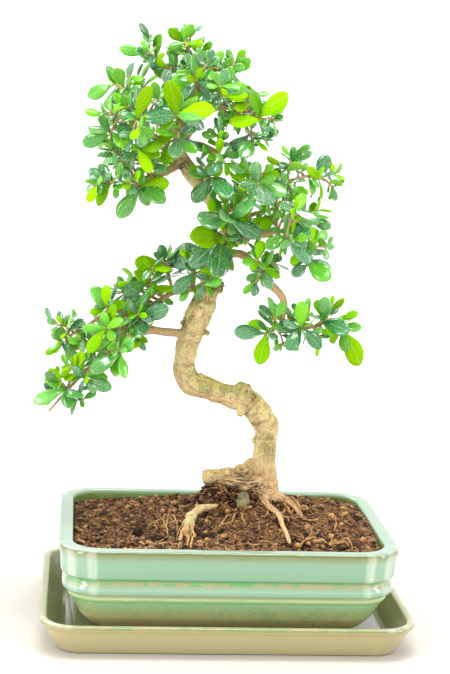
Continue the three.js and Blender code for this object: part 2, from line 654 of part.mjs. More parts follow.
// The leaf's upper side looks up and away from the middle of the tree.
function facingOf(place, seed) {
  const middleX = mix(-30, -20, draw(seed, 4));
  const away = new THREE.Vector3(place.x - middleX, place.y - 8, 0).normalize();
  const facing = new THREE.Vector3(draw(seed, 5) - 0.5, draw(seed, 6) - 0.5, draw(seed, 7) - 0.3);
  facing.multiplyScalar(0.8);
  facing.addScaledVector(away, 0.7);
  facing.z += 0.5;
  facing.y -= 0.45;
  return facing;
}

// Where a leaf stands: back from its tuft along the twig's line, and which way the twig runs there.
function footOf(spray, tuftNumber, number) {
  const { line } = spray.twig;
  const end = (tuftNumber + 2) * TWIG_PIECES;
  const stop = tuftNumber === 0 ? 0 : end - TWIG_PIECES;
  let room = -(tuftNumber === 0 ? spray.limbRadius * 1.3 + SEAT + 1.6 : 1);
  for (let i = stop; i < end; i += 1) room += line[i].distanceTo(line[i + 1]);
  let back = number * Math.min(LEAF_PITCH, Math.max(room, 0.5) / spray.tufts[tuftNumber].count);
  let place = end;
  while (place > stop + 1 && back > line[place].distanceTo(line[place - 1])) {
    back -= line[place].distanceTo(line[place - 1]);
    place -= 1;
  }
  const way = line[place].clone().sub(line[place - 1]).normalize();
  return { base: line[place].clone().addScaledVector(way, -back), way };
}

function placeLeaf(spray, tuftNumber, number, seed, attempt) {
  const item = spray.tufts[tuftNumber];
  const { base, way } = footOf(spray, tuftNumber, number);
  const tip = item.tips[number];
  const trySeed = seed * 16 + attempt;
  if (!tip) {
    const leaf = ruledLeaf(way, number, trySeed);
    return bladeOf(base, leaf.direction, facingOf(base, trySeed), leaf.length);
  }
  const reach = vector(item.place).add(vector(tip)).sub(base);
  if (attempt > 0) {
    reach.x += (draw(trySeed, 8) - 0.5) * 3 * attempt;
    reach.y += (draw(trySeed, 9) - 0.7) * 4 * attempt;
    reach.z += (draw(trySeed, 10) - 0.5) * 3 * attempt;
  }
  const facing = new THREE.Vector3(draw(trySeed, 5) * 0.5 - 0.25, -0.8, draw(trySeed, 6) * 0.5 + 0.2);
  return bladeOf(base, reach.clone().normalize(), facing, reach.length());
}

// Each leaf is turned until it is clear of the limbs and of the other sprays, or else left out.
// Leaves of one spray are kept apart past their feet.
function growSprays() {
  const limbHulls = Object.values(LIMBS).flatMap((points) => stretchHulls(lineOf(points, 2)));
  const grown = SPRAYS.map(([name, limbName, share, tufts]) => {
    const twig = lineOf(twigPoints(limbName, share, tufts), TWIG_PIECES);
    const limbRadius = pathOf(LIMBS[limbName]).radiusAt(share);
    return { name, limbName, limbRadius, tufts, twig, hulls: stretchHulls(twig), blades: [], outer: [] };
  });
  const placed = [];
  for (const marked of [true, false]) {
    grown.forEach((spray, sprayNumber) => {
      spray.tufts.forEach((item, tuftNumber) => {
        for (let number = 0; number < item.count; number += 1) {
          if (number < item.tips.length !== marked) continue;
          const seed = (sprayNumber * 4 + tuftNumber) * 16 + number;
          growLeaf(spray, tuftNumber, number, seed, grown, limbHulls, placed);
        }
      });
    });
  }
  return grown;
}

function growLeaf(spray, tuftNumber, number, seed, grown, limbHulls, placed) {
  for (let attempt = 0; attempt < TRIES; attempt += 1) {
    const blade = placeLeaf(spray, tuftNumber, number, seed, attempt);
    const hull = bladeHull(blade, 0.12);
    const outer = bladeHull(blade, attempt < TRIES / 2 ? 0.14 : 0.4);
    const clear = limbHulls.every((other) => apart(hull, other))
      && grown.every((other) => other === spray || other.hulls.every((part) => apart(hull, part)))
      && placed.every((other) => other.spray === spray || apart(hull, other.hull))
      && spray.outer.every((other) => apart(outer, other));
    if (clear) {
      spray.blades.push(blade);
      spray.outer.push(outer);
      placed.push({ hull, spray });
      return;
    }
  }
}

function makeSpray(spray) {
  const twig = tube(spray.twig.line, spray.twig.radii, 3);
  const seated = twig.subtract(limbSolid(spray.limbName, SEAT));
  const solid = joined([seated, ...spray.blades.map(bladeSolid)]);
  return pieceOf(solid, `spray_${spray.name}`, COLOURS.leaf, 0.35);
}

// Loose pieces lying on the soil, each in its own hollow

const SETTLED = 1;
const LOOSE = [
  ['pellet_front_left', -49, -32, 3.2, 3, 2.8, COLOURS.pellet],
  ['pellet_right', 57, 14, 3, 3.2, 2.6, COLOURS.pellet],
  ['peat_lump_left', -58, -22, 5, 4, 3.6, COLOURS.lump],
  ['stone', 14, 5, 4.7, 3.6, 6.6, COLOURS.stone],
];

function looseSolid([name, x, y, sizeX, sizeY, sizeZ], grow = 0) {
  const detail = name === 'stone' ? 1 : 0;
  const z = soilHeight(x, y) + sizeZ * 0.35 - SETTLED;
  return lump(x, y, z, sizeX, sizeY, sizeZ, detail, grow);
}

// The whole object

function build() {
  const group = new THREE.Group();
  group.add(makeTray());
  group.add(makePot());
  for (const side of [-1, 1]) group.add(makeScreen(side));
  const buried = ['trunk', 'stub', ...ROOT_NAMES].map((name) => limbSolid(name, SEAT));
  const pockets = LOOSE.map((item) => looseSolid(item, GAP));
  const screenHeight = SCREEN.thick + GAP;
  const screenSize = SCREEN.size + 2 * GAP;
  const recesses = [-1, 1].map((side) => (
    block(side * DRAIN.x, 0, POT.floor + screenHeight / 2, screenSize, screenSize, screenHeight)
  ));
  group.add(makeSoil([...buried, ...pockets, ...recesses]));
  group.add(makeWood());
  for (const item of LOOSE) group.add(pieceOf(looseSolid(item), item[0], item[6], 0.9));
  for (const spray of growSprays()) group.add(makeSpray(spray));
  return group;
}

export default build();
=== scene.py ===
"""Fukien tea bonsai in a celadon glazed pot that stands in its drip tray.

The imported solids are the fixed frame. The leaves, twigs, bark, soil, pot and tray are modelled
finely here, where their solids are, in millimetres that become metres as each mesh is made.
"""
import math

import bmesh
import bpy
import numpy as np
from mathutils import Matrix, Vector, kdtree, noise


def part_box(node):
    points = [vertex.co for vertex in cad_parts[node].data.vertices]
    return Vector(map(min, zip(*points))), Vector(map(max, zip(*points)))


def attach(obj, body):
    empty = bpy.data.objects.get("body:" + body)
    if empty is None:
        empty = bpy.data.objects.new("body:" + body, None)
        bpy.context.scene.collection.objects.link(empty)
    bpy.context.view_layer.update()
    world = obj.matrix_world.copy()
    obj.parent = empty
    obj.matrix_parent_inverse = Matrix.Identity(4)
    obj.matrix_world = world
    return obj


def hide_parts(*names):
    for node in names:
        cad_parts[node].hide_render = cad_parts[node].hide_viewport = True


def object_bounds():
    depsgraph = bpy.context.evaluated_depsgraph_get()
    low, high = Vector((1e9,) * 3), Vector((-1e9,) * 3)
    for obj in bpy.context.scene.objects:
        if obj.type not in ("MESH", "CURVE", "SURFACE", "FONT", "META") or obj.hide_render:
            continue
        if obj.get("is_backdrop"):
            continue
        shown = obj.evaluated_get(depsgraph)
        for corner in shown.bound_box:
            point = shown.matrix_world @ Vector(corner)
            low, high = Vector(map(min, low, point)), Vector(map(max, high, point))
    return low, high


bl_info = {
    "name": "Fukien Tea Bonsai",
    "version": (1, 0, 0),
    "blender": (4, 5, 0),
    "location": "3D View > Sidebar > Bonsai",
    "description": "Gives a potted fukien tea bonsai its leaves, bark, soil and glazes",
    "category": "Object",
}

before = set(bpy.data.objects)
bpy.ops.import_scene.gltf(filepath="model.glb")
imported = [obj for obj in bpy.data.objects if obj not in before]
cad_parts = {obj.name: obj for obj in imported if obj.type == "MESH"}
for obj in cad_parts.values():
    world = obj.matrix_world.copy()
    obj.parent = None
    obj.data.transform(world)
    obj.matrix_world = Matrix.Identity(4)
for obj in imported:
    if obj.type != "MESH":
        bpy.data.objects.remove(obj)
CAD_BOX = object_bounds()
MM = 0.001


# Sizes in millimetres that the solids have too, but for the drill that cuts the drain holes and the feet's bevel

def spans(node):
    """Length and depth of a node in millimetres."""
    low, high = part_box(node)
    return (high[0] - low[0]) / MM, (high[1] - low[1]) / MM


TRAY_CORNER = 22
POT_CORNER = 25
POT_BASE = 9.5
POT_FLOOR = 14.5
DRAIN_X = 38
DRAIN_RADIUS = 7.5
DRILL_MIDDLE = 12
DRILL_HEIGHT = 20
FOOT_PLACE = (68, 44, 8.25)
FOOT_RADIUS = 7
FOOT_HEIGHT = 4.5
FOOT_BEVEL = 0.6
SOIL_EDGE = 61.5
SOIL_MOUNDS = [(24, 24, 14, 50, 36), (8, 25, 8, 17, 15), (-8, 21, 8, 5.5, 7), (1, 21, 4, 6, 7)]

# Pairs of inset and height, from the underside up the outside and down the inside
TRAY_PROFILE = [
    (12.5, 0), (11, 0.8), (2.2, 16.5), (0.2, 18.4), (0, 20.2), (0.9, 21.3),
    (4, 21.3), (5, 20.3), (6.2, 17.5), (13.5, 7.4), (16.5, 6),
]
POT_PROFILE = [
    (27, POT_BASE), (21, 12.4), (14.5, 19.5), (9.3, 30), (6.2, 33.6), (6.6, 36), (3.4, 38), (2.5, 41),
    (3.2, 44), (4.4, 45.6), (4.2, 47.7), (1.7, 49.3), (1, 62.3), (0, 64), (0, 66.8), (1.2, 68),
    (8.2, 68), (9.4, 66.8), (9.8, 62), (11, 50), (13.5, 36), (18, 24), (25, 16.4), (32, POT_FLOOR),
]

# Each limb is a row of points of x, y, z and radius
LIMBS = {
    "trunk": [
        (32, 25, 58, 13), (32, 25, 70, 13.5), (31, 25, 81, 10.5), (30, 25, 93, 8.6), (29, 24, 105, 7.9),
        (29, 23, 118, 8), (29, 22, 128, 8.9), (24, 21, 137, 9.2), (16, 20, 145, 8.8), (7, 19, 148, 8.2),
        (-3, 18, 151, 7.3), (-14, 17, 155, 7.9), (-23, 16, 158, 8.3), (-28, 15, 164, 8.2), (-29, 14, 173, 7.4),
        (-28, 13, 184, 7.6), (-25, 12, 193, 8), (-22, 11, 203, 8.9), (-18, 11, 213, 8.9), (-16, 11, 222, 7.2),
        (-14, 11, 232, 4.3), (-9, 11, 242, 4), (-4, 11, 253, 3.9), (-3, 11, 261, 4), (-6, 10, 271, 4.1),
        (-14, 9, 280, 4.3), (-22, 8, 291, 5), (-31, 7, 302, 5.3), (-37, 6, 311, 4.8), (-38, 5, 319, 4),
        (-33, 5, 327, 3.5), (-27, 4, 337, 3.1), (-26, 4, 348, 2.7), (-29, 4, 361, 2.1), (-32.5, 4, 372, 1.6),
        (-33.5, 4, 375, 1.3),
    ],
    "stub": [
        (30, 25, 92, 7), (21, 24, 88.5, 8), (11, 23, 88.5, 6.4), (0, 22, 91, 5.4), (-11.5, 21, 92, 5.3),
        (-13.6, 21, 92, 3.2),
    ],
    "crown_right": [(-27, 4, 336, 2.4), (-14, -2, 344, 2), (0, -8, 343, 1.4)],
    "crown_left": [(-26, 4, 347, 2.5), (-45, -4, 351, 2.1), (-64, -9, 347, 1.7), (-74, -12, 340, 1.3)],
    "crown_front": [(-30, 5, 332, 2.3), (-36, -12, 338, 2), (-48, -26, 337, 1.6), (-57, -33, 336, 1.3)],
    "crown_low": [
        (-36, 6, 309, 3.2), (-45, 2, 302, 2.8), (-56, -4, 298, 2.3), (-64, -10, 293, 1.7), (-72, -13, 290, 1.4),
    ],
    "crown_inner": [(-38, 5, 320, 2.4), (-26, -3, 320, 1.9), (-15, -8, 316, 1.4)],
    "crown_back": [(-26, 4, 340, 2.3), (-34, 20, 345, 1.8), (-40, 32, 344, 1.3)],
    "crown_back_right": [(-26, 4, 345, 2.2), (-16, 16, 348, 1.8), (-8, 26, 345, 1.3)],
    "crown_back_left": [(-35, 5, 325, 2.3), (-48, 18, 330, 1.8), (-60, 28, 334, 1.3)],
    "middle_high": [(-5, 10, 267, 2.7), (6, 4, 281, 2.3), (20, -3, 291, 1.8), (36, -4, 299, 1.3)],
    "middle_low": [(-4, 11, 254, 2.6), (10, 4, 260, 2.2), (24, -6, 264, 1.7), (38, -8, 268, 1.3)],
    "middle_back": [(-5, 11, 261, 2.4), (4, 22, 268, 2), (16, 30, 273, 1.6), (28, 33, 276, 1.3)],
    "right_arch": [
        (-8, 11, 243, 3.2), (-2, 10, 247, 3), (4, 8, 248, 2.9), (9, 5, 246, 2.8), (13, 2, 242, 2.7),
        (18, -2, 236, 2.7), (24, -5, 230, 2.7), (31, -8, 224, 2.7), (34, -10, 217, 2.4), (33, -10, 208, 2.1),
        (36, -10, 200, 1.9), (45, -9, 201, 1.6), (57, -6, 203, 1.3),
    ],
    "left_low": [
        (-24, 12, 192, 4.6), (-34, 11, 193, 3.2), (-45, 8, 194, 2.9), (-53, 5, 195, 2.7), (-70, 0, 191, 2.3),
        (-86, -6, 178, 1.9), (-104, -10, 160, 1.4), (-119, -12, 142, 0.9),
    ],
    "left_rise": [(-51, 6, 195, 2.4), (-64, 8, 203, 2.1), (-80, 7, 207, 1.7), (-98, 3, 195, 1.3)],
    "left_high": [
        (-17, 11, 224, 2.8), (-27, 16, 222, 2.4), (-38, 20, 219, 2.1), (-47, 22, 213, 1.7), (-55, 24, 208, 1.3),
    ],
    "root_claw": [
        (24, 18, 64, 6), (2, -6, 56, 4), (-18, -30, 56, 3), (-28, -38, 61, 2.4), (-27, -28, 68.5, 2.4),
        (-23, -14, 72.5, 2.6), (-17, -5, 75.5, 2.8), (-10, -2, 76.5, 2.2), (-4, 0, 77.5, 1.3),
    ],
    "root_front": [
        (28, 16, 78, 4), (31, 3, 77, 2.2), (37, -6, 73.5, 1.9), (38, -20, 70.5, 1.7), (40, -38, 66.5, 1.5),
        (41, -50, 59, 1.2),
    ],
    "root_right": [(36, 24, 79, 5), (46, 15, 77.5, 2.6), (52, 5, 73, 1.9), (55, -6, 66, 1.4)],
    "root_deep_left": [(24, 27, 66, 7), (0, 34, 54, 5), (-30, 38, 44, 3.5), (-58, 26, 34, 2)],
    "root_deep_right": [(38, 24, 66, 7), (60, 10, 52, 4.6), (78, -10, 42, 2)],
}

# The blades' sizes and the rule that places them, with the first draws of the smaller leaves and the shoots
BLADE_THICK = 1.1
BLADE_WIDTH = 0.52
BLADE_ARCH = 0.26
BLADE_CLEAR = 0.3
FINE_CLEAR = 0.05
SEAT = 0.35
TRIES = 14
LEAF_PITCH = 1.5
GOLDEN_ANGLE = 2.399963
WIDE = (0.62, 1)
SHOULDER = (0.92, 0.66)
FINE_SEEDS = 90000
SHOOT_SEEDS = 400000
MOST_HULLS = 6000


def tuft(x, y, z, count, *tips):
    """A place on a twig, how many leaves stand there, and the tips of the leaves that are known.

    A tip is measured from the tuft, and a fourth number there is the leaf's age from 0 to 1.
    """
    return {"place": (x, y, z), "count": count, "tips": tips}


# Name, limb, share of the limb's path where the twig starts, and its tufts
SPRAYS = [
    ("crown_top", "trunk", 0.985, [tuft(-39, 2, 386, 7, (7, -8, 10, 0.5), (-10, -5, 7, 0.25), (14, -5, -2, 0.1))]),
    ("crown_top_left", "trunk", 0.95, [
        tuft(-48, -3, 368, 5),
        tuft(-62, 0, 376, 6, (-18, -4, 3), (-14, -7, -1)),
    ]),
    ("crown_top_right", "trunk", 0.94, [tuft(-20, -10, 369, 6), tuft(-5, -2, 366, 7)]),
    ("crown_young", "trunk", 0.92, [tuft(-31, -25, 361, 7, (3, -6, 8, 0), (-7, -6, 1, 0), (12, -8, -4, 0.9))]),
    ("crown_right_high", "crown_right", 0.45, [tuft(-15, -24, 354, 7, (12, -8, 3))]),
    ("crown_right_end", "crown_right", 0.98, [
        tuft(13, -13, 337, 7, (-22, -8, -2, 0.08), (-11, -8, 20, 0.4), (6, 2, 19, 0.12)),
    ]),
    ("crown_right_low", "crown_right", 0.7, [tuft(9, -12, 323, 6, (-12, -7, -2), (0, -7, -9), (6, -9, 3))]),
    ("crown_left_high", "crown_left", 0.7, [tuft(-83, -6, 356, 7, (-16, -2, -9), (-5, -5, 12))]),
    ("crown_left_end", "crown_left", 0.98, [tuft(-85, -20, 324, 7, (-17, -6, -6), (-8, -10, 12))]),
    ("crown_front_left", "crown_front", 0.98, [
        tuft(-69, -39, 335, 7, (9, -7, 22, 0.08), (24, -5, 4, 0.95), (14, -8, -11, 0.95)),
    ]),
    ("crown_front_mid", "crown_front", 0.6, [
        tuft(-43, -43, 339, 7, (-7, -7, 22, 0.1), (23, -7, 4, 0.1), (-3, -7, -12, 0.7)),
    ]),
    ("crown_front_low", "crown_front", 0.42, [tuft(-42, -28, 322, 6, (13, -8, -6), (-9, -8, -12))]),
    ("crown_low_front", "crown_low", 0.55, [
        tuft(-67, -31, 317, 6, (9, -7, -15, 0), (-13, -8, 2, 0.4), (16, -6, 3, 0.3)),
    ]),
    ("crown_low_tip", "crown_low", 0.96, [tuft(-84, -18, 294, 7, (-14, -6, -6))]),
    ("crown_low_droop", "crown_low", 0.8, [tuft(-64, -22, 291, 5, (-14, -5, -19), (-1, -7, -13))]),
    ("crown_low_back", "crown_low", 0.7, [tuft(-80, 18, 312, 6)]),
    ("crown_inner_end", "crown_inner", 0.98, [
        tuft(-10, -17, 309, 7, (14, -7, -5), (-9, -6, -11), (3, -8, 11)),
    ]),
    ("crown_back_high", "trunk", 0.93, [tuft(-30, 25, 365, 6), tuft(-47, 33, 360, 6)]),
    ("crown_back_left_end", "crown_back_left", 0.97, [tuft(-72, 38, 339, 7)]),
    ("crown_back_end", "crown_back", 0.97, [tuft(-40, 47, 341, 7)]),
    ("crown_back_right_end", "crown_back_right", 0.97, [tuft(0, 36, 341, 7)]),
    ("crown_back_low", "crown_back_left", 0.5, [tuft(-46, 36, 312, 7)]),
    ("stem_front", "trunk", 0.745, [tuft(-18, -15, 299, 6, (-12, -6, -16), (0, -7, -16), (-15, -7, 5))]),
    ("middle_near", "trunk", 0.69, [
        tuft(-5, -20, 272, 7, (20, -6, -9), (-15, -6, 0), (-14, -5, 6), (19, -6, 9), (0, -5, 12)),
    ]),
    ("middle_collar", "trunk", 0.66, [
        tuft(-10, -8, 258, 6, (-16, -5, 7, 0.2), (-17, -6, -2, 0.1), (-20, -4, -18, 1), (-3, -7, -16, 0.8)),
    ]),
    ("middle_front", "middle_high", 0.5, [
        tuft(11, -27, 297, 7, (-13, -7, -1), (11, -7, 4), (16, -6, -3), (3, -8, -10)),
    ]),
    ("middle_top", "middle_high", 0.85, [
        tuft(36, 0, 311, 7, (0, -7, 10), (8, -3, 13), (-10, -7, -3), (-6, -8, -11)),
    ]),
    ("middle_tip", "middle_high", 0.98, [
        tuft(56, -2, 300, 6, (-12, -8, 7, 0.12), (-8, -9, -9, 0.05), (8, -3, 3, 0.35)),
    ]),
    ("middle_low_front", "middle_low", 0.72, [
        tuft(31, -27, 264, 6, (13, -7, -5), (-14, -7, -8), (16, -5, -17)),
        tuft(34, -31, 281, 5, (17, -7, -7), (-10, -7, 4)),
    ]),
    ("middle_low_hang", "right_arch", 0.34, [tuft(19, -12, 240, 5, (4, -7, -12), (-9, -5, -9))]),
    ("middle_low_end", "middle_low", 0.98, [tuft(48, -10, 244, 6, (-11, -7, -7), (8, -7, -11), (15, -5, -2))]),
    ("middle_low_tip", "middle_low", 0.9, [tuft(50, 4, 272, 6, (14, -6, -4))]),
    ("middle_back_high", "middle_back", 0.4, [tuft(9, 34, 292, 7)]),
    ("middle_back_low", "middle_back", 0.55, [tuft(19, 38, 254, 7)]),
    ("middle_back_end", "middle_back", 0.97, [tuft(43, 32, 284, 7)]),
    ("right_near", "right_arch", 0.83, [
        tuft(21, -14, 198, 6, (-21, -5, 1, 0.9), (-11, -7, -14, 0.18), (9, -8, -4, 0.9)),
    ]),
    ("right_mid", "right_arch", 0.93, [
        tuft(44, -16, 203, 6, (0, -8, 19, 0.45), (14, -8, -13, 0.95), (-6, -7, -14, 0.2)),
    ]),
    ("right_end", "right_arch", 0.99, [
        tuft(62, -6, 206, 6, (-2, -8, 18), (11, -8, 2)),
        tuft(74, -4, 200, 5, (3, -6, -14, 0.5), (10, -4, -22, 0.08), (13, -5, 3, 0.6)),
    ]),
    ("left_high_end", "left_high", 0.97, [tuft(-55, 10, 227, 7, (-18, -7, -8, 0.8), (-9, -8, 9, 0.15))]),
    ("left_high_top", "left_high", 0.5, [
        tuft(-45, 18, 238, 7, (-3, -5, 14, 0.85), (17, -4, 14, 0.9), (-19, -5, 3, 0.2)),
    ]),
    ("left_near", "left_high", 0.2, [tuft(-25, -4, 236, 4, (-15, -6, -14), (7, -8, -6))]),
    ("left_rise_mid", "left_rise", 0.5, [
        tuft(-62, -8, 204, 7, (20, -6, 10, 0.9), (9, -8, -9, 0.95), (-6, -8, 9, 0.2)),
    ]),
    ("left_rise_top", "left_rise", 0.6, [
        tuft(-83, 1, 211, 7, (0, -4, 15, 0.1), (16, -8, 5, 0.25), (-11, -7, -4, 0.2)),
    ]),
    ("left_rise_end", "left_rise", 0.98, [tuft(-112, 0, 184, 6)]),
    ("left_low_front", "left_low", 0.55, [tuft(-84, -19, 199, 6, (-11, -8, -15, 0.2), (12, -8, 8, 0.5))]),
    ("left_low_mid", "left_low", 0.66, [tuft(-73, -24, 184, 6, (-20, -8, -12), (3, -9, -15), (13, -8, 4))]),
    ("left_low_end", "left_low", 0.8, [tuft(-96, -24, 166, 6, (18, -7, -4), (-9, -8, 10))]),
    ("left_low_tip", "left_low", 0.88, [tuft(-108, -18, 158, 6, (-21, -2, -9), (3, -7, -14), (14, -8, 5))]),
    ("left_back", "left_high", 0.75, [tuft(-70, 32, 217, 6), tuft(-62, 40, 203, 5)]),
    ("left_low_back", "left_low", 0.5, [tuft(-79, 24, 188, 6), tuft(-96, 18, 180, 5)]),
]


# Draws, vectors and paths

# A little over one turn, in radians, by which a draw becomes a heading
FULL_TURN = 6.3


def draw(seed, index):
    """A number from 0 to 1 that depends only on the two whole numbers given."""
    value = ((seed + 1) * 374761393 + (index + 1) * 668265263) & 0xFFFFFFFF
    value = ((value ^ (value >> 13)) * 1274126177) & 0xFFFFFFFF
    return (value ^ (value >> 16)) / 4294967296


def stray(seed, index):
    """A vector of three draws, each from -0.5 to 0.5."""
    return np.array([draw(seed, index + axis) - 0.5 for axis in range(3)])


def mix(a, b, share):
    return a + (b - a) * share


def unit(vector):
    return vector / np.linalg.norm(vector)


def square_to(axis, direction):
    """The part of a direction that is square to an axis, at unit length."""
    flat = direction - axis * np.dot(direction, axis)
    if np.linalg.norm(flat) < 1e-3:
        flat = np.array([axis[2], axis[0], axis[1]])
        flat = flat - axis * np.dot(flat, axis)
    return unit(flat)


def path_at(points, share):
    """Place and radius at a share of a smooth path: a Catmull-Rom curve with the radius in straight steps."""
    rows = np.array(points, float)
    last = len(rows) - 1
    place = min(share * last, last - 1e-9)
    step = int(place)
    t = place - step
    before = rows[step - 1] if step > 0 else 2 * rows[0] - rows[1]
    after = rows[step + 2] if step + 2 <= last else 2 * rows[last] - rows[last - 1]
    here, there = rows[step], rows[step + 1]
    leaving, coming = (there - before) / 2, (after - here) / 2
    curve = here + leaving * t + (3 * (there - here) - 2 * leaving - coming) * t * t
    curve = curve + (2 * (here - there) + leaving + coming) * t ** 3
    return curve[:3], mix(here[3], there[3], t)


def line_of(points, pieces):
    """Points and radii along a path, with the same count of steps between each two of its points."""
    count = pieces * (len(points) - 1)
    places = [path_at(points, i / count) for i in range(count + 1)]
    return np.array([place for place, radius in places]), np.array([radius for place, radius in places])


# Hulls and the clearance test: a few points with three axes stand for a blade or a stretch of wood

class Hull:
    def __init__(self, points, axes):
        self.points = np.array(points)
        self.axes = np.array(axes)
        self.centre = self.points.mean(0)
        self.reach = np.linalg.norm(self.points - self.centre, axis=1).max()


def apart(a, b, clear):
    """Whether one of the axes, or a cross product of two, shows a gap between two hulls."""
    crosses = np.cross(a.axes[:, None], b.axes[None]).reshape(-1, 3)
    lengths = np.linalg.norm(crosses, axis=1)
    kept = lengths > 0.05
    axes = np.vstack([a.axes, b.axes, crosses[kept] / lengths[kept, None]])
    spread_a, spread_b = a.points @ axes.T, b.points @ axes.T
    gaps = np.maximum(spread_b.min(0) - spread_a.max(0), spread_a.min(0) - spread_b.max(0))
    return bool((gaps > clear).any())


class Crowd:
    """Hulls that a new one has to clear, each with the name of its owner."""

    def __init__(self):
        self.hulls, self.owners = [], []
        self.places = np.zeros((MOST_HULLS, 4))

    def add(self, hull, owner):
        self.places[len(self.hulls)] = (*hull.centre, hull.reach)
        self.hulls.append(hull)
        self.owners.append(owner)

    def clears(self, hull, clear, skip=None, only=None):
        places = self.places[:len(self.hulls)]
        away = np.linalg.norm(places[:, :3] - hull.centre, axis=1)
        for i in np.flatnonzero(away <= places[:, 3] + hull.reach + clear):
            if self.owners[i] == skip or (only is not None and self.owners[i] != only):
                continue
            if not apart(hull, self.hulls[i], clear):
                return False
        return True


def stretch_hulls(line, radii):
    """Hulls of the straight stretches of a limb or twig."""
    for i in range(len(line) - 1):
        along = unit(line[i + 1] - line[i])
        side = square_to(along, np.array([0.3, 0.2, 1]))
        other = np.cross(along, side)
        corners = []
        for place in (i, i + 1):
            reach = radii[place] * 0.95 + 0.2
            corners += [line[place] + side * u * reach + other * v * reach for u in (1, -1) for v in (1, -1)]
        yield Hull(corners, [along, side, other])


# Leaves

class Blade:
    """A leaf by its foot, its direction, its upper side and its length; it arches from foot to tip."""

    def __init__(self, base, direction, facing, length, age=1.0):
        self.base, self.direction, self.length, self.age = base, direction, length, age
        self.upper = square_to(direction, facing)
        self.side = np.cross(self.upper, direction)

    def point(self, along, across, over=0.0):
        arch = self.length * BLADE_ARCH * along * (1 - along)
        return (self.base + self.direction * self.length * along + self.side * across
                + self.upper * (arch + over))

    def hull(self, start):
        half = self.length * BLADE_WIDTH / 2
        places = [
            (start, half * 0.2), (start, -half * 0.2), (WIDE[0], half), (WIDE[0], -half),
            (SHOULDER[0], half * SHOULDER[1]), (SHOULDER[0], -half * SHOULDER[1]), (1, 0), (WIDE[0], 0),
        ]
        sheets = (-BLADE_THICK / 2, BLADE_THICK / 2)
        points = [self.point(along, across, over) for along, across in places for over in sheets]
        return Hull(points, [self.direction, self.side, self.upper])


class Spray:
    """A twig that leaves its limb and runs through its tufts, with the leaves that grow there."""

    def __init__(self, name, start, limb_radius, tufts):
        self.name, self.limb_radius, self.tufts, self.blades, self.shoots = name, limb_radius, tufts, [], []
        places = [np.array(item["place"], float) for item in tufts]
        middle = (start + places[0]) / 2
        middle[2] += np.linalg.norm(places[0] - start) * 0.12
        self.line = np.array([start, middle, *places])
        thin = [1.05 - 0.2 * (i + 1) / len(tufts) for i in range(len(tufts))]
        self.radii = np.array([1.1, 1.05, *thin])

    def foot(self, number, leaf):
        """Where a leaf stands, back from its tuft along the twig, and which way the twig runs there."""
        end = number + 2
        stop = 0 if number == 0 else end - 1
        steps = np.linalg.norm(np.diff(self.line, axis=0), axis=1)
        room = steps[stop:end].sum() - (self.limb_radius * 1.3 + SEAT + 1.6 if number == 0 else 1)
        back = leaf * min(LEAF_PITCH, max(room, 0.5) / self.tufts[number]["count"])
        place = end
        while place > stop + 1 and back > steps[place - 1]:
            back -= steps[place - 1]
            place -= 1
        way = unit(self.line[place] - self.line[place - 1])
        return self.line[place] - way * back, way


def ruled_direction(way, number, seed, open_angle):
    """A direction that the golden angle gives round a twig, lifted a little."""
    side = square_to(way, np.array([0.2, 0.1, 1]))
    other = np.cross(way, side)
    turn = number * GOLDEN_ANGLE + (draw(seed, 1) - 0.5) * 2.4
    direction = way * math.cos(open_angle)
    direction = direction + side * math.sin(open_angle) * math.cos(turn)
    direction = direction + other * math.sin(open_angle) * math.sin(turn)
    direction[2] += 0.12
    return unit(direction)


def facing_of(place, seed):
    """The way a leaf's upper side looks: up and away from the middle of the tree."""
    away = unit(np.array([place[0] - mix(-30, -20, draw(seed, 4)), place[1] - 8, 0]))
    facing = np.array([draw(seed, 5) - 0.5, draw(seed, 6) - 0.5, draw(seed, 7) - 0.3]) * 0.8 + away * 0.7
    return facing + np.array([0, -0.45, 0.5])


def solid_leaf(spray, number, leaf, seed, attempt):
    """The leaf that the solid of the spray has too."""
    item = spray.tufts[number]
    base, way = spray.foot(number, leaf)
    seed = seed * 16 + attempt
    if leaf >= len(item["tips"]):
        angle = mix(0.2, 0.7, draw(seed, 2)) if leaf == 0 else mix(0.85, 1.55, draw(seed, 2))
        length = mix(10, 14, draw(seed, 3)) if leaf == 0 else mix(13, 20, draw(seed, 3))
        age = age_of(seed) if leaf else mix(0.05, 0.5, draw(seed, 11))
        return Blade(base, ruled_direction(way, leaf, seed, angle), facing_of(base, seed), length, age)
    tip = item["tips"][leaf]
    reach = np.array(item["place"], float) + np.array(tip[:3], float) - base
    if attempt > 0:
        reach += np.array([
            (draw(seed, 8) - 0.5) * 3, (draw(seed, 9) - 0.7) * 4, (draw(seed, 10) - 0.5) * 3,
        ]) * attempt
    facing = np.array([draw(seed, 5) * 0.5 - 0.25, -0.8, draw(seed, 6) * 0.5 + 0.2])
    age = tip[3] if len(tip) > 3 else mix(0.6, 1, draw(seed, 11))
    return Blade(base, unit(reach), facing, np.linalg.norm(reach), age)


def grow_solid_leaves(sprays, crowd):
    """Turns each leaf until it clears the limbs and the other sprays, or leaves it out."""
    own = Crowd()
    for marked in (True, False):
        for order, spray in enumerate(sprays):
            for number, item in enumerate(spray.tufts):
                for leaf in range(item["count"]):
                    if (leaf < len(item["tips"])) != marked:
                        continue
                    seed = (order * 4 + number) * 16 + leaf
                    for attempt in range(TRIES):
                        blade = solid_leaf(spray, number, leaf, seed, attempt)
                        hull = blade.hull(0.12)
                        outer = blade.hull(0.14 if attempt < TRIES / 2 else 0.4)
                        if (crowd.clears(hull, BLADE_CLEAR, skip=spray.name)
                                and own.clears(outer, BLADE_CLEAR, only=spray.name)):
                            spray.blades.append(blade)
                            own.add(outer, spray.name)
                            crowd.add(hull, spray.name)
                            break


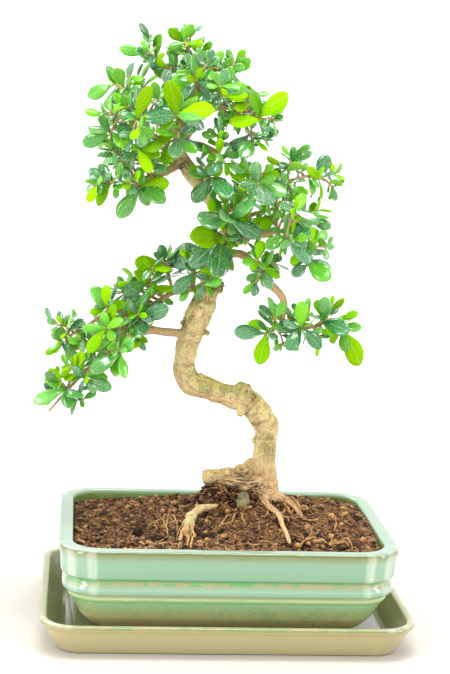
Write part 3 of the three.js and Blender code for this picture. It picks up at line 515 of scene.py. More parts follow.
def age_of(seed):
    """Some leaves are young and bright, most are of middle age or old."""
    return mix(0.05, 0.3, draw(seed, 14)) if draw(seed, 13) < 0.24 else mix(0.45, 1, draw(seed, 14))


def fits_box(hull):
    inside = [np.array(corner) / MM for corner in CAD_BOX]
    return (hull.points.min(0) > inside[0]).all() and (hull.points.max(0) < inside[1]).all()


def fine_leaf(spray, number, leaf, seed, low, high):
    """A smaller leaf among those that the solid has."""
    foot, way = spray.foot(number, leaf * 0.8 + draw(seed, 12) * 2)
    angle = mix(0.25, 1.5, draw(seed, 2))
    length = mix(low, high, draw(seed, 3))
    return Blade(foot, ruled_direction(way, leaf, seed, angle), facing_of(foot, seed), length, age_of(seed))


def add_fine_leaf(spray, number, leaf, seed, low, high, crowd, near):
    """Adds a smaller leaf where it clears the crowd and the leaves near it."""
    for attempt in range(TRIES):
        blade = fine_leaf(spray, number, leaf, seed * 16 + attempt, low, high)
        hull = blade.hull(0.2)
        if (fits_box(hull) and crowd.clears(hull, FINE_CLEAR)
                and all(apart(hull, other, FINE_CLEAR) for other in near)):
            spray.blades.append(blade)
            near.append(hull)
            return


def grow_fine_leaves(sprays, crowd, share, low, high):
    """Fills each tuft with smaller leaves, where they clear all that already grows there."""
    for order, spray in enumerate(sprays):
        for number, item in enumerate(spray.tufts):
            grown = []
            for leaf in range(round(item["count"] * share)):
                seed = FINE_SEEDS + (order * 4 + number) * 64 + leaf
                add_fine_leaf(spray, number, leaf, seed, low, high, crowd, grown)
            for hull in grown:
                crowd.add(hull, spray.name)


def grow_shoots(sprays, crowd, count, low, high):
    """Adds short side shoots with their own leaves along each twig, where at least three leaves fit."""
    for order, spray in enumerate(sprays):
        for number in range(count * len(spray.tufts)):
            seed = SHOOT_SEEDS + order * 512 + number * 8
            for attempt in range(4):
                shoot = side_shoot(spray, seed + attempt)
                twig = list(stretch_hulls(shoot.line[1:], shoot.radii[1:]))
                if not all(fits_box(hull) and crowd.clears(hull, FINE_CLEAR) for hull in twig):
                    continue
                grown = []
                for leaf in range(shoot.tufts[0]["count"]):
                    add_fine_leaf(shoot, 0, leaf, seed * 8 + leaf, low, high, crowd, grown)
                if len(grown) >= 3:
                    spray.shoots.append(shoot)
                    for hull in twig + grown:
                        crowd.add(hull, spray.name)
                    break


def side_shoot(spray, seed):
    """A short twig that leaves a spray's twig sideways and outwards."""
    step = 1 + int(draw(seed, 51) * (len(spray.line) - 1))
    start = spray.line[step - 1] + (spray.line[step] - spray.line[step - 1]) * mix(0.25, 0.95, draw(seed, 52))
    away = unit(np.array([start[0] + 25, start[1] - 8, 4]))
    spread = np.array([draw(seed, 53) - 0.5, draw(seed, 54) - 0.55, draw(seed, 55) - 0.4])
    way = unit(unit(spread) + away * 0.35)
    place = start + way * mix(7, 16, draw(seed, 56))
    return Spray(spray.name, start, 0.8, [tuft(*place, 5 + int(draw(seed, 57) * 4))])


# Meshes

def only(piece):
    """Selects this object alone and makes it the active one."""
    bpy.ops.object.select_all(action="DESELECT")
    piece.select_set(True)
    bpy.context.view_layer.objects.active = piece


def open_edit():
    """Opens the active object for an edit, with all of it selected."""
    bpy.ops.object.mode_set(mode="EDIT")
    bpy.ops.mesh.select_all(action="SELECT")


def close_edit():
    """Ends the edit with all faces turned outwards."""
    bpy.ops.mesh.select_all(action="SELECT")
    bpy.ops.mesh.normals_make_consistent(inside=False)
    bpy.ops.object.mode_set(mode="OBJECT")


def apply_modifier(piece, kind, **settings):
    only(piece)
    modifier = piece.modifiers.new(kind, kind)
    for name, value in settings.items():
        setattr(modifier, name, value)
    bpy.ops.object.modifier_apply(modifier=modifier.name)


def joined(pieces, name):
    """One object from several."""
    only(pieces[0])
    for piece in pieces[1:]:
        piece.select_set(True)
    bpy.ops.object.join()
    pieces[0].name = pieces[0].data.name = name
    return pieces[0]


def points_of(mesh):
    places = np.empty(len(mesh.vertices) * 3)
    mesh.vertices.foreach_get("co", places)
    return places.reshape(-1, 3)


def move_points(mesh, places):
    mesh.vertices.foreach_set("co", np.ascontiguousarray(places, float).ravel())
    mesh.update()


def give(mesh, name, values):
    """Gives every point of a mesh a number or a vector under a name."""
    values = np.asarray(values, float)
    kind, key = ("FLOAT", "value") if values.ndim == 1 else ("FLOAT_VECTOR", "vector")
    layer = mesh.attributes.get(name) or mesh.attributes.new(name, kind, "POINT")
    layer.data.foreach_set(key, values.ravel())


def dressed(piece, slot, *replaced):
    """Puts a finished piece into the frame."""
    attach(piece, "root")
    if replaced:
        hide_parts(*replaced)


def tubes(name, lines, resolution):
    """One mesh of round tubes along lines of points in millimetres, each with a radius for every point."""
    curve = bpy.data.curves.new(name, "CURVE")
    curve.dimensions = "3D"
    curve.bevel_depth = MM
    curve.bevel_resolution = resolution
    curve.use_fill_caps = True
    for places, radii in lines:
        spline = curve.splines.new("POLY")
        spline.points.add(len(places) - 1)
        spline.points.foreach_set("co", np.column_stack([places * MM, np.ones(len(places))]).ravel())
        spline.points.foreach_set("radius", np.asarray(radii, float))
    piece = bpy.data.objects.new(name, curve)
    bpy.context.collection.objects.link(piece)
    only(piece)
    bpy.ops.object.convert(target="MESH")
    piece = bpy.context.object
    open_edit()
    bpy.ops.mesh.remove_doubles(threshold=1e-6)
    close_edit()
    bpy.ops.object.shade_smooth()
    return piece


def repeated(name, template, matrices, tones):
    """One mesh with a copy of a template at each matrix, whose points have the copy's own tone."""
    base = points_of(template)
    count, size = len(matrices), len(base)
    frames = np.array(matrices)
    places = np.einsum("mij,nj->mni", frames[:, :3, :3], base) + frames[:, None, :3, 3]
    corners = np.empty(len(template.loops), int)
    template.loops.foreach_get("vertex_index", corners)
    starts, totals = np.empty(len(template.polygons), int), np.empty(len(template.polygons), int)
    template.polygons.foreach_get("loop_start", starts)
    template.polygons.foreach_get("loop_total", totals)
    mesh = bpy.data.meshes.new(name)
    mesh.vertices.add(count * size)
    mesh.vertices.foreach_set("co", places.ravel())
    mesh.loops.add(count * len(corners))
    mesh.loops.foreach_set("vertex_index", (np.arange(count)[:, None] * size + corners).ravel())
    mesh.polygons.add(count * len(starts))
    mesh.polygons.foreach_set("loop_start", (np.arange(count)[:, None] * len(corners) + starts).ravel())
    mesh.polygons.foreach_set("loop_total", np.tile(totals, count))
    mesh.update(calc_edges=True)
    if template.uv_layers:
        flat = np.empty(len(corners) * 2)
        template.uv_layers[0].data.foreach_get("uv", flat)
        mesh.uv_layers.new(name="leaf").data.foreach_set("uv", np.tile(flat, count))
    if "under" in template.attributes:
        under = np.empty(size)
        template.attributes["under"].data.foreach_get("value", under)
        give(mesh, "under", np.tile(under, count))
    give(mesh, "tone", np.repeat(np.array(tones, float), size, axis=0))
    piece = bpy.data.objects.new(name, mesh)
    bpy.context.collection.objects.link(piece)
    only(piece)
    bpy.ops.object.shade_smooth()
    return piece


# Materials

def linear(code):
    """Linear colour of an sRGB hex value."""
    parts = [int(code[i:i + 2], 16) / 255 for i in (1, 3, 5)]
    return (*[part / 12.92 if part <= 0.04045 else ((part + 0.055) / 1.055) ** 2.4 for part in parts], 1)


def colour_choice(name, description, code):
    """A colour that a user can change."""
    return bpy.props.FloatVectorProperty(
        name=name, description=description, subtype="COLOR", size=4, default=linear(code))


def add_node(tree, kind, inputs=None, stops=None, **settings):
    """Adds a shader node with its settings, its inputs and a ramp's stops.

    An input is a value, a socket that feeds it, or a node whose first output does.
    """
    node = tree.nodes.new(f"ShaderNode{kind}")
    for name, value in settings.items():
        setattr(node, name, value)
    for name, value in (inputs or {}).items():
        if isinstance(value, bpy.types.Node):
            value = value.outputs[0]
        if isinstance(value, bpy.types.NodeSocket):
            tree.links.new(value, node.inputs[name])
        else:
            node.inputs[name].default_value = value
    if stops:
        ramp = node.color_ramp.elements
        ramp.remove(ramp[1])
        ramp[0].position, ramp[0].color = stops[0]
        for place, colour in stops[1:]:
            ramp.new(place).color = colour
    return node


def new_material(name):
    """A material with an empty node tree, and the place on the object that its patterns read."""
    material = bpy.data.materials.new(name)
    material.use_nodes = True
    tree = material.node_tree
    tree.nodes.clear()
    return material, tree, add_node(tree, "TexCoord").outputs["Object"]


def close_material(tree, inputs):
    """Ends a material with its one shader."""
    add_node(tree, "OutputMaterial", {"Surface": add_node(tree, "BsdfPrincipled", inputs)})


def glaze(name, stops, cloud_and_highlight_stops, mottle, roughness):
    """Stoneware glaze, fired glossy: it pools darker in grooves and runs down, and painted highlights run down its
    corners.

    The colours follow the way along the profile, which the glaze's own flow makes wavy. The cloud and highlight stops
    say along that way how much green clouds the glaze, and how strong the painted highlight over the corners is.
    """
    material, tree, place = new_material(name)
    run = add_node(tree, "Attribute", attribute_name="run").outputs["Fac"]
    turn = add_node(tree, "Attribute", attribute_name="turn").outputs["Fac"]
    streaks = add_node(tree, "Mapping", {"Vector": place, "Scale": (110, 110, 22)})
    flow = add_node(tree, "TexNoise", {"Vector": streaks, "Scale": 1, "Detail": 4})
    drift = add_node(tree, "Math", {0: flow, 1: -0.5}, operation="ADD")
    wavy = add_node(tree, "Math", {0: drift, 1: 0.012, 2: run}, operation="MULTIPLY_ADD")
    ramp = add_node(tree, "ValToRGB", {"Fac": wavy}, stops)
    # Red: share of the green clouds; green: share of the painted corner highlights
    cloud_and_highlight = add_node(tree, "SeparateXYZ", {0: add_node(tree, "ValToRGB", {"Fac": wavy}, cloud_and_highlight_stops)})
    # Clouds of 4 mm with specks in them, which gather in drifts of 3 cm
    cloud = add_node(tree, "TexNoise", {"Vector": place, "Scale": 150, "Detail": 7, "Roughness": 0.72})
    drifts = add_node(tree, "TexNoise", {"Vector": place, "Scale": 32, "Detail": 1})
    gathered = add_node(tree, "Math", {0: drifts, 1: 0.7, 2: cloud}, operation="MULTIPLY_ADD")
    patch = add_node(tree, "MapRange", {"Value": gathered, "From Min": 0.82, "From Max": 0.96, "To Max": 0.95})
    cloudy = add_node(tree, "Math", {0: patch, 1: cloud_and_highlight.outputs[0]}, operation="MULTIPLY")
    tint = add_node(tree, "Mix", {0: cloudy, 6: ramp, 7: mottle}, data_type="RGBA")
    # Painted highlights: pale stripes down each corner, one in its middle and one at either side
    highlight_bands = add_node(tree, "ValToRGB", {"Fac": turn}, [
        (share, (pale, pale, pale, 1))
        for share, pale in ((0, 0), (0.1, 0.55), (0.28, 0.9), (0.42, 0.2), (0.72, 0.15), (0.9, 0.7))
    ])
    # The painted highlight's share, made patchy by the glaze's flow, and the near-white highlight painted in
    thin = add_node(tree, "Math", {0: highlight_bands, 1: cloud_and_highlight.outputs[1]}, operation="MULTIPLY")
    wear_and_painted_light = add_node(tree, "Math", {0: thin, 1: flow}, operation="MULTIPLY")
    highlighted = add_node(tree, "Mix", {0: wear_and_painted_light, 6: tint.outputs[2], 7: linear("#fbfbf2")}, data_type="RGBA")
    pits = add_node(tree, "TexVoronoi", {"Vector": place, "Scale": 650})
    pit = add_node(tree, "MapRange", {"Value": pits, "From Min": 0.04, "From Max": 0.12, "To Min": 0.78, "To Max": 1})
    speckled = add_node(tree, "Mix", {0: 1.0, 6: highlighted.outputs[2], 7: pit}, data_type="RGBA", blend_type="MULTIPLY")
    bump = add_node(tree, "Bump", {"Height": flow, "Strength": 0.05, "Distance": 0.001})
    close_material(tree, {"Base Color": speckled.outputs[2], "Roughness": roughness, "IOR": 1.6, "Normal": bump})
    return material


def rounded(profile):
    """Cuts the corners of a profile twice, so that it turns softly."""
    points = np.array(profile, float)
    for cut in (0.8, 0.3):
        steps = np.diff(points, axis=0)
        shares = np.minimum(0.3, cut / np.linalg.norm(steps, axis=1))[:, None]
        pairs = np.stack([points[:-1] + steps * shares, points[1:] - steps * shares], 1)
        points = np.vstack([points[:1], pairs.reshape(-1, 2), points[-1:]])
    return points


def place_ring(piece, length, depth, corner, inset, height, run):
    """Puts the selected ring of points on a rectangle with round corners."""
    mesh = bmesh.from_edit_mesh(piece.data)
    layer = mesh.verts.layers.float.get("run") or mesh.verts.layers.float.new("run")
    turn = mesh.verts.layers.float.get("turn") or mesh.verts.layers.float.new("turn")
    bend = mesh.verts.layers.float_vector.get("bend") or mesh.verts.layers.float_vector.new("bend")
    half = Vector((length / 2 - inset, depth / 2 - inset))
    radius = max(corner - inset * 0.55, 8)
    for point in mesh.verts:
        if point.select:
            way = point[bend]
            side = (math.copysign(1, way.x), math.copysign(1, way.y))
            point.co = Vector((
                side[0] * (half.x - radius) + way.x * radius, side[1] * (half.y - radius) + way.y * radius, height,
            )) * MM
            point[layer] = run
            # From 0 where a corner starts to 1 in its middle
            angle = math.atan2(abs(way.y), abs(way.x)) / (math.pi / 2)
            point[turn] = 2 * min(angle, 1 - angle)
    bmesh.update_edit_mesh(piece.data)


def mark_bends(piece, length, depth, radius):
    """Notes on every point of the first ring which way it lies from its corner's centre."""
    mesh = bmesh.from_edit_mesh(piece.data)
    bend = mesh.verts.layers.float_vector.new("bend")
    for point in mesh.verts:
        side = Vector((math.copysign(1, point.co.x), math.copysign(1, point.co.y), 0))
        centre = Vector((side.x * (length / 2 - radius), side.y * (depth / 2 - radius), 0))
        way = (point.co / MM - centre).normalized()
        point[bend] = (side.x * max(abs(way.x), 1e-5), side.y * max(abs(way.y), 1e-5), 0)
    bmesh.update_edit_mesh(piece.data)


def rounded_stack(name, length, depth, corner, profile, steps):
    """A dish with round corners: a plate whose corners are bevelled, extruded ring by ring along a profile."""
    bpy.ops.object.select_all(action="DESELECT")
    bpy.ops.mesh.primitive_plane_add(size=1, location=(0, 0, 0))
    piece = bpy.context.object
    piece.name = piece.data.name = name
    rings = rounded(profile)
    runs = np.concatenate([[0], np.cumsum(np.linalg.norm(np.diff(rings, axis=0), axis=1))])
    first = max(corner - rings[0][0] * 0.55, 8)
    low = (length - 2 * rings[0][0], depth - 2 * rings[0][0])
    open_edit()
    bpy.ops.transform.resize(value=(low[0] * MM, low[1] * MM, 1))
    bpy.ops.mesh.bevel(offset=first * MM, segments=steps, affect="VERTICES")
    mark_bends(piece, *low, first)
    for row, (inset, height) in enumerate(rings):
        if row:
            bpy.ops.mesh.extrude_region_move()
        place_ring(piece, length, depth, corner, inset, height, runs[row] / runs[-1])
    close_edit()
    piece.data.attributes.remove(piece.data.attributes["bend"])
    bpy.ops.object.shade_smooth_by_angle(angle=math.radians(50))
    return piece


def profile_stops(profile, colours):
    """Ramp stops from pairs of a profile's point number and a colour."""
    points = np.array(profile, float)
    runs = np.concatenate([[0], np.cumsum(np.linalg.norm(np.diff(points, axis=0), axis=1))])
    return [(np.interp(place, range(len(runs)), runs) / runs[-1], linear(code)) for place, code in colours]


class PotSettings(bpy.types.PropertyGroup):
    corner_steps: bpy.props.IntProperty(
        name="Corner Steps", description="Facets round each corner of the pot and the tray", default=10, min=3)
    pot_mottle: colour_choice("Pot Mottle", "Copper green that clouds the celadon glaze", "#4fa566")
    tray_mottle: colour_choice("Tray Mottle", "Green that clouds the tray's sandy glaze", "#56834e")
    mesh_colour: colour_choice("Drain Mesh", "Colour of the plastic mesh over the drain holes", "#242422")


class BONSAI_OT_tray(bpy.types.Operator):
    """Makes the glazed drip tray"""
    bl_idname = "bonsai.tray"
    bl_label = "Drip Tray"

    def execute(self, context):
        settings = context.scene.bonsai_pot
        tray = rounded_stack("tray_dish", *spans("drip_tray"), TRAY_CORNER, TRAY_PROFILE, settings.corner_steps)
        stops = profile_stops(TRAY_PROFILE, [
            (0, "#7a714b"), (1, "#b5ad7f"), (1.6, "#b7ad81"), (2, "#b5ab7c"), (3.2, "#afa572"), (3.9, "#87875a"),
            (5, "#9d9972"), (6, "#9a9770"), (7, "#8b8c64"), (8, "#84855d"), (9, "#787a53"), (10, "#706f4b"),
        ])
        # Red: share of the green clouds; green: share of the painted highlights down the corners
        cloud_and_highlight_stops = profile_stops(TRAY_PROFILE, [
            (0, "#000000"), (3.2, "#000000"), (3.8, "#b0b000"), (5, "#b0b000"), (6, "#606000"), (10, "#808000"),
        ])
        tray.data.materials.append(glaze("khaki_stoneware_glaze", stops, cloud_and_highlight_stops, settings.tray_mottle, 0.12))
        dressed(tray, "tray_glaze", "drip_tray")
        return {"FINISHED"}


class BONSAI_OT_pot(bpy.types.Operator):
    """Makes the glazed pot with its feet, its drain holes and the mesh over them"""
    bl_idname = "bonsai.pot"
    bl_label = "Pot"

    def execute(self, context):
        settings = context.scene.bonsai_pot
        pot = rounded_stack("pot_body", *spans("pot"), POT_CORNER, POT_PROFILE, settings.corner_steps)
        for side in (-1, 1):
            bpy.ops.mesh.primitive_cylinder_add(
                vertices=32, radius=DRAIN_RADIUS * MM, depth=DRILL_HEIGHT * MM,
                location=(side * DRAIN_X * MM, 0, DRILL_MIDDLE * MM))
            drill = bpy.context.object
            apply_modifier(pot, "BOOLEAN", object=drill, operation="DIFFERENCE", solver="EXACT")
            bpy.data.objects.remove(drill)
        feet = []
        for side_x, side_y in ((1, 1), (-1, 1), (-1, -1), (1, -1)):
            bpy.ops.mesh.primitive_cylinder_add(
                vertices=24, radius=FOOT_RADIUS * MM, depth=FOOT_HEIGHT * MM,
                location=Vector(FOOT_PLACE) * Vector((side_x, side_y, 1)) * MM)
            open_edit()
            bpy.ops.mesh.bevel(offset=FOOT_BEVEL * MM, segments=2)
            close_edit()
            bpy.ops.object.transform_apply(location=True, rotation=False, scale=False)
            feet.append(bpy.context.object)
        pot = joined([pot, *feet], "pot_body")
        stops = profile_stops(POT_PROFILE, [
            (0, "#a89c68"), (1.6, "#ccbd86"), (2.5, "#b2bc82"), (3, "#a4c494"), (3.5, "#aad6ac"), (3.8, "#8bb074"),
            (4.4, "#90b074"), (4.8, "#c0cda2"), (5.6, "#b6c39a"), (6.2, "#8ba88c"), (6.6, "#90b298"), (6.8, "#84a38a"),
            (7.2, "#8fb098"), (7.7, "#8aa88a"), (8.3, "#9ca27c"), (9, "#a39f78"), (9.8, "#8b9c68"), (10.3, "#5f9a5e"),
            (10.7, "#7ea688"), (11.5, "#82a98c"), (12, "#87a487"), (12.8, "#84936a"), (13.4, "#74804f"),
            (13.7, "#5f6738"), (14, "#6c7547"), (14.2, "#82957a"), (15, "#7f9782"), (16, "#829a85"),
            # From the lip down the inside, darker and darker: painted shade inside the pot
            (16.6, "#7c9068"), (17, "#748249"), (18.5, "#576d3e"), (21, "#425b3d"),
        ])
        # Red: share of the green clouds; green: share of the painted highlights down the corners
        cloud_and_highlight_stops = profile_stops(POT_PROFILE, [
            (0, "#500000"), (1.6, "#800000"), (2.6, "#b00000"), (3.1, "#400000"), (4.4, "#500000"),
            (7, "#20c000"), (8.3, "#20c000"), (8.7, "#f0a000"), (9.7, "#f06000"), (10.3, "#308000"),
            (11, "#00f000"), (12.4, "#00f000"), (13.4, "#20d000"), (14.6, "#009000"), (16, "#000000"),
            (17, "#a00000"), (20, "#c00000"),
        ])
        pot.data.materials.append(glaze("celadon_glaze", stops, cloud_and_highlight_stops, settings.pot_mottle, 0.06))
        dressed(pot, "pot_glaze", "pot")
        # Woven polythene mesh, 1.6 mm between its threads: dark, with a dull waxy gloss
        material, tree, place = new_material("drain_mesh_polythene")
        weave = add_node(tree, "TexWave", {"Vector": place, "Scale": 310, "Distortion": 0.5})
        tone = add_node(tree, "Mix", {
            0: weave.outputs["Fac"], 6: settings.mesh_colour, 7: linear("#3e3e3b"),
        }, data_type="RGBA")
        bump = add_node(tree, "Bump", {"Height": weave.outputs["Fac"], "Strength": 0.4, "Distance": 0.0003})
        close_material(tree, {"Base Color": tone.outputs[2], "Roughness": 0.6, "Normal": bump})
        for side in ("left", "right"):
            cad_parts[f"drain_screen_{side}"].data.materials.clear()
            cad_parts[f"drain_screen_{side}"].data.materials.append(material)
        return {"FINISHED"}


# Soil

def soil_height(x, y):
    """Height of the soil's broad mound, with the heap under the stub."""
    height = SOIL_EDGE + 0.8 * math.sin(x * 0.31 + 1.3 * math.sin(y * 0.23)) * math.cos(y * 0.37 + x * 0.09)
    height += 2.6 * min(max((x - 78) / 30, 0), 1) * min(max((45 - y) / 30, 0), 1)
    for middle_x, middle_y, high, spread_x, spread_y in SOIL_MOUNDS:
        away = ((x - middle_x) / spread_x) ** 2 + ((y - middle_y) / spread_y) ** 2
        height += high * math.exp(-away / 2)
    return height


def crumbly(x, y):
    """Height of the crumbs in the soil's surface: lumps of 6 mm with crumbs of 3 mm and grains of 1 mm on them."""
    place = Vector((x, y, 0))
    lumps = noise.noise(place * 0.17) * 1.7
    crumbs = 1 - min(1, noise.voronoi(place * 0.33)[0][0] * 1.4)
    grains = noise.noise(place * 0.9) * 0.8
    return lumps + crumbs * 1.9 + grains - 0.9


# Crumbs heaped against the foot, the stub, the stone and the bent root: place, reach and height
HEAPS = [
    (27, 9, 9, 3), (38, 8, 7, 2.5), (22, 13, 8, 3.5), (46, 14, 6, 2), (8, 14, 12, 3), (-4, 16, 10, 2.5),
    (-9, 18, 8, 4), (-27, -38, 8, 2.2), (-20, -20, 6, 1.5),
]

# Hollows beside the roots and under the stub, where painted shade darkens the soil: place and reach
SHADED_HOLLOWS = [
    (-17, -24, 8), (40, -14, 6), (46, -42, 9), (66, -38, 6), (-29, -50, 5), (-44, -36, 5), (4, 16, 12), (-20, 24, 9),
    (-9, 20, 9), (81, -38, 6), (50, -38, 5),
]


def painted_soil_shading(x, y):
    """Painted shading of the soil: painted shade in its hollows and between its crumbs, painted light on the crumbs'
    tops.
    """
    darkening = max(math.exp(-((x - hollow_x) ** 2 + (y - hollow_y) ** 2) / reach ** 2) for hollow_x, hollow_y, reach in SHADED_HOLLOWS)
    return crumbly(x, y) * 0.07 - darkening * 0.24


# Inset of the soil's edge from the pot's outline, pairs of inset and height down its side, a height that only
# its surface is above, and the inset and the corner that loose crumbs keep to
SOIL_RIM = 10.1
SOIL_SIDE = [(13.8, 36), (18.3, 24.2), (25.3, 16.8), (32.3, 14.9)]
SOIL_SHADE = 55
CRUMB_INSET = 1.5
CRUMB_CORNER = 17

# Loose pieces on the soil: node and seed
LOOSE = [("pellet_front_left", -49), ("pellet_right", 57), ("peat_lump_left", -58), ("stone", 14)]

# Pellets besides: place and size
SCATTERED = [
    (-41.1, -14, 2.6), (56.7, 10.8, 2.4), (-1.7, -31.8, 2.6), (-13.3, -37.5, 2), (3.2, -2.2, 1.8),
    (70.3, -26.5, 2.3), (45.4, -48.2, 2.2), (-45.3, -18.5, 1.7), (52.7, -43.2, 1.8), (63, -35.8, 2),
    (-72, 6, 2.2), (-30, 30, 2.3), (72, 30, 2.4), (-64, 38, 2), (18, 48, 2.2), (80, -8, 1.8),
]

# Fine roots that lie on the soil, as rows of x and y, with a radius
ROOTLETS = [
    (0.8, [(-39, -16), (-37, 1.5), (-34, 4), (-32, -2), (-31.5, -22)]),
    (0.7, [(-38.7, 9.5), (-40, 1.8), (-39, -13.5), (-38.5, -28.5)]),
    (1.3, [(41, 26), (45, 6), (47, -3)]),
    (0.9, [(45, -4.5), (52, -5), (60, -7), (67.4, -3.2), (71.2, -6)]),
    (0.6, [(45, -51), (50, -42), (56, -29), (58.7, -28), (62, -22)]),
    (0.8, [(57.5, -10), (57, -19.5), (60.6, -23.8), (62.4, -19.8)]),
    (0.9, [(8, -2.5), (6.7, -9), (2, -16.5), (-7.4, -19.5)]),
    (1.1, [(35.5, -6), (40, -1), (43.5, 5)]),
    (0.9, [(5.8, -3), (0, -10.5), (-3.5, -20)]),
    (0.8, [(12, -1.5), (12.7, -10.5), (14, -17.5)]),
    (1.1, [(-20, -27), (-23.4, -41), (-25.5, -54)]),
    (0.8, [(77.8, 6.8), (76, -10), (73.7, -17.5)]),
    (0.6, [(70, -28), (69, -44.5), (74.6, -29.5)]),
    (0.8, [(0.7, 19.8), (4, 13), (9.8, 14)]),
    (0.7, [(-60, -40), (-50, -47), (-38, -44), (-30, -50)]),
    (0.6, [(10, -40), (18, -47), (24, -40), (31, -45)]),
]

# Roots and woody bits that stand off the soil, as rows of x, y and z, with a radius: four at the end of the
# bent root, the rest at the front right
FINGERS = [
    (1.7, [(-26, -27, 70), (-29.5, -34, 68), (-31, -40, 65), (-31.5, -46, 60)]),
    (1.7, [(-26, -29, 70), (-27, -36, 67.5), (-26.5, -42, 64), (-26.5, -47, 60)]),
    (1.2, [(-23, -27, 70), (-22.5, -33, 67.5), (-22, -38, 64), (-22, -43, 60)]),
    (0.5, [(-28, -22, 70), (-31, -28, 68), (-33, -35, 65), (-33, -41, 60)]),
    (0.9, [(33, 8, 76), (30, -2, 73.5), (26, -10, 69), (25, -18, 63)]),
    (0.7, [(38, -6, 73), (43, -10, 71), (48, -14, 68), (50, -17, 63)]),
    (1.7, [(54, -38, 61), (60, -37, 64.5), (65, -39, 64), (70, -38, 61)]),
    (1.9, [(66, -42, 61), (71, -41, 64.5), (77, -42, 64.5), (82, -41, 61)]),
    (1.2, [(76, -31, 61), (78, -35, 65), (81, -40, 65), (83, -45, 61)]),
    (0.8, [(44, -50, 63), (51, -44, 66.5), (57, -37, 66.5), (60, -30, 63)]),
    (1.0, [(42, 16, 79), (49, 12, 79), (53, 4, 76), (51, -4, 70), (48, -8, 64)]),
]


def on_soil(x, y):
    return soil_height(x, y) + crumbly(x, y)


def placed(place, turn, size):
    """The matrix of a copy: its place and size in millimetres, and its turn."""
    return Matrix.Scale(MM, 4) @ Matrix.Translation(place) @ turn @ Matrix.Diagonal((*size, 1))


def humus(name, dark, pale, rough_scale):
    """Peaty potting soil: matt, almost black in its shadows, with red-brown fibres and paler crumbs."""
    material, tree, place = new_material(name)
    tone = add_node(tree, "Attribute", attribute_name="tone").outputs["Vector"]
    split = add_node(tree, "SeparateXYZ", {0: tone})
    # Crumbs of about 3 mm and fibres of 0.5 mm
    crumbs = add_node(tree, "TexNoise", {"Vector": place, "Scale": rough_scale, "Detail": 8, "Roughness": 0.75})
    fibres = add_node(tree, "TexVoronoi", {"Vector": place, "Scale": 1400}, feature="DISTANCE_TO_EDGE")
    mixed = add_node(tree, "Math", {0: fibres, 1: 0.35, 2: crumbs}, operation="MULTIPLY_ADD")
    # The tone moves the ramp: the soil's painted shade and light, and each crumb's own tone
    lifted = add_node(tree, "Math", {0: mixed, 1: split.outputs[0]}, operation="ADD")
    ramp = add_node(tree, "ValToRGB", {"Fac": lifted}, [
        (0.3, dark), (0.47, linear("#49301f")), (0.62, pale), (0.85, linear("#c39a69")),
    ])
    bump = add_node(tree, "Bump", {"Height": mixed, "Strength": 0.9, "Distance": 0.0012})
    close_material(tree, {"Base Color": ramp, "Roughness": 0.95, "Specular IOR Level": 0.25, "Normal": bump})
    return material


def rough_ball(name, subdivisions, amount, scale, seed):
    """A ball with a bumpy skin, one unit in radius."""
    bpy.ops.object.select_all(action="DESELECT")
    bpy.ops.mesh.primitive_ico_sphere_add(subdivisions=subdivisions, radius=1, location=(0, 0, 0))
    ball = bpy.context.object
    ball.name = ball.data.name = name
    places = points_of(ball.data)
    for row, place in enumerate(places):
        shift = noise.noise(Vector(place) * scale + Vector((seed, 0, 0)))
        places[row] = place * (1 + amount * shift)
    move_points(ball.data, places)
    return ball


class SoilSettings(bpy.types.PropertyGroup):
    cell: bpy.props.FloatProperty(
        name="Cell", description="Spacing of the points in the soil's surface",
        default=0.0012, min=0.0005, unit="LENGTH")
    crumbs: bpy.props.IntProperty(name="Crumbs", description="Loose crumbs on the soil", default=3600, min=0)
    heaped: bpy.props.IntProperty(
        name="Heaped Crumbs", description="Crumbs heaped against the foot and the roots", default=520, min=0)
    fibres: bpy.props.IntProperty(name="Fibres", description="Fine fibres on the soil", default=1900, min=0)
    dark: colour_choice("Dark", "Soil in its hollows", "#1a0f09")
    pale: colour_choice("Pale", "Soil on its crumbs", "#8e6946")
    clay: colour_choice("Clay", "Fired clay pellets", "#a47a42")
    stone: colour_choice("Stone", "The upright stone", "#7b7550")


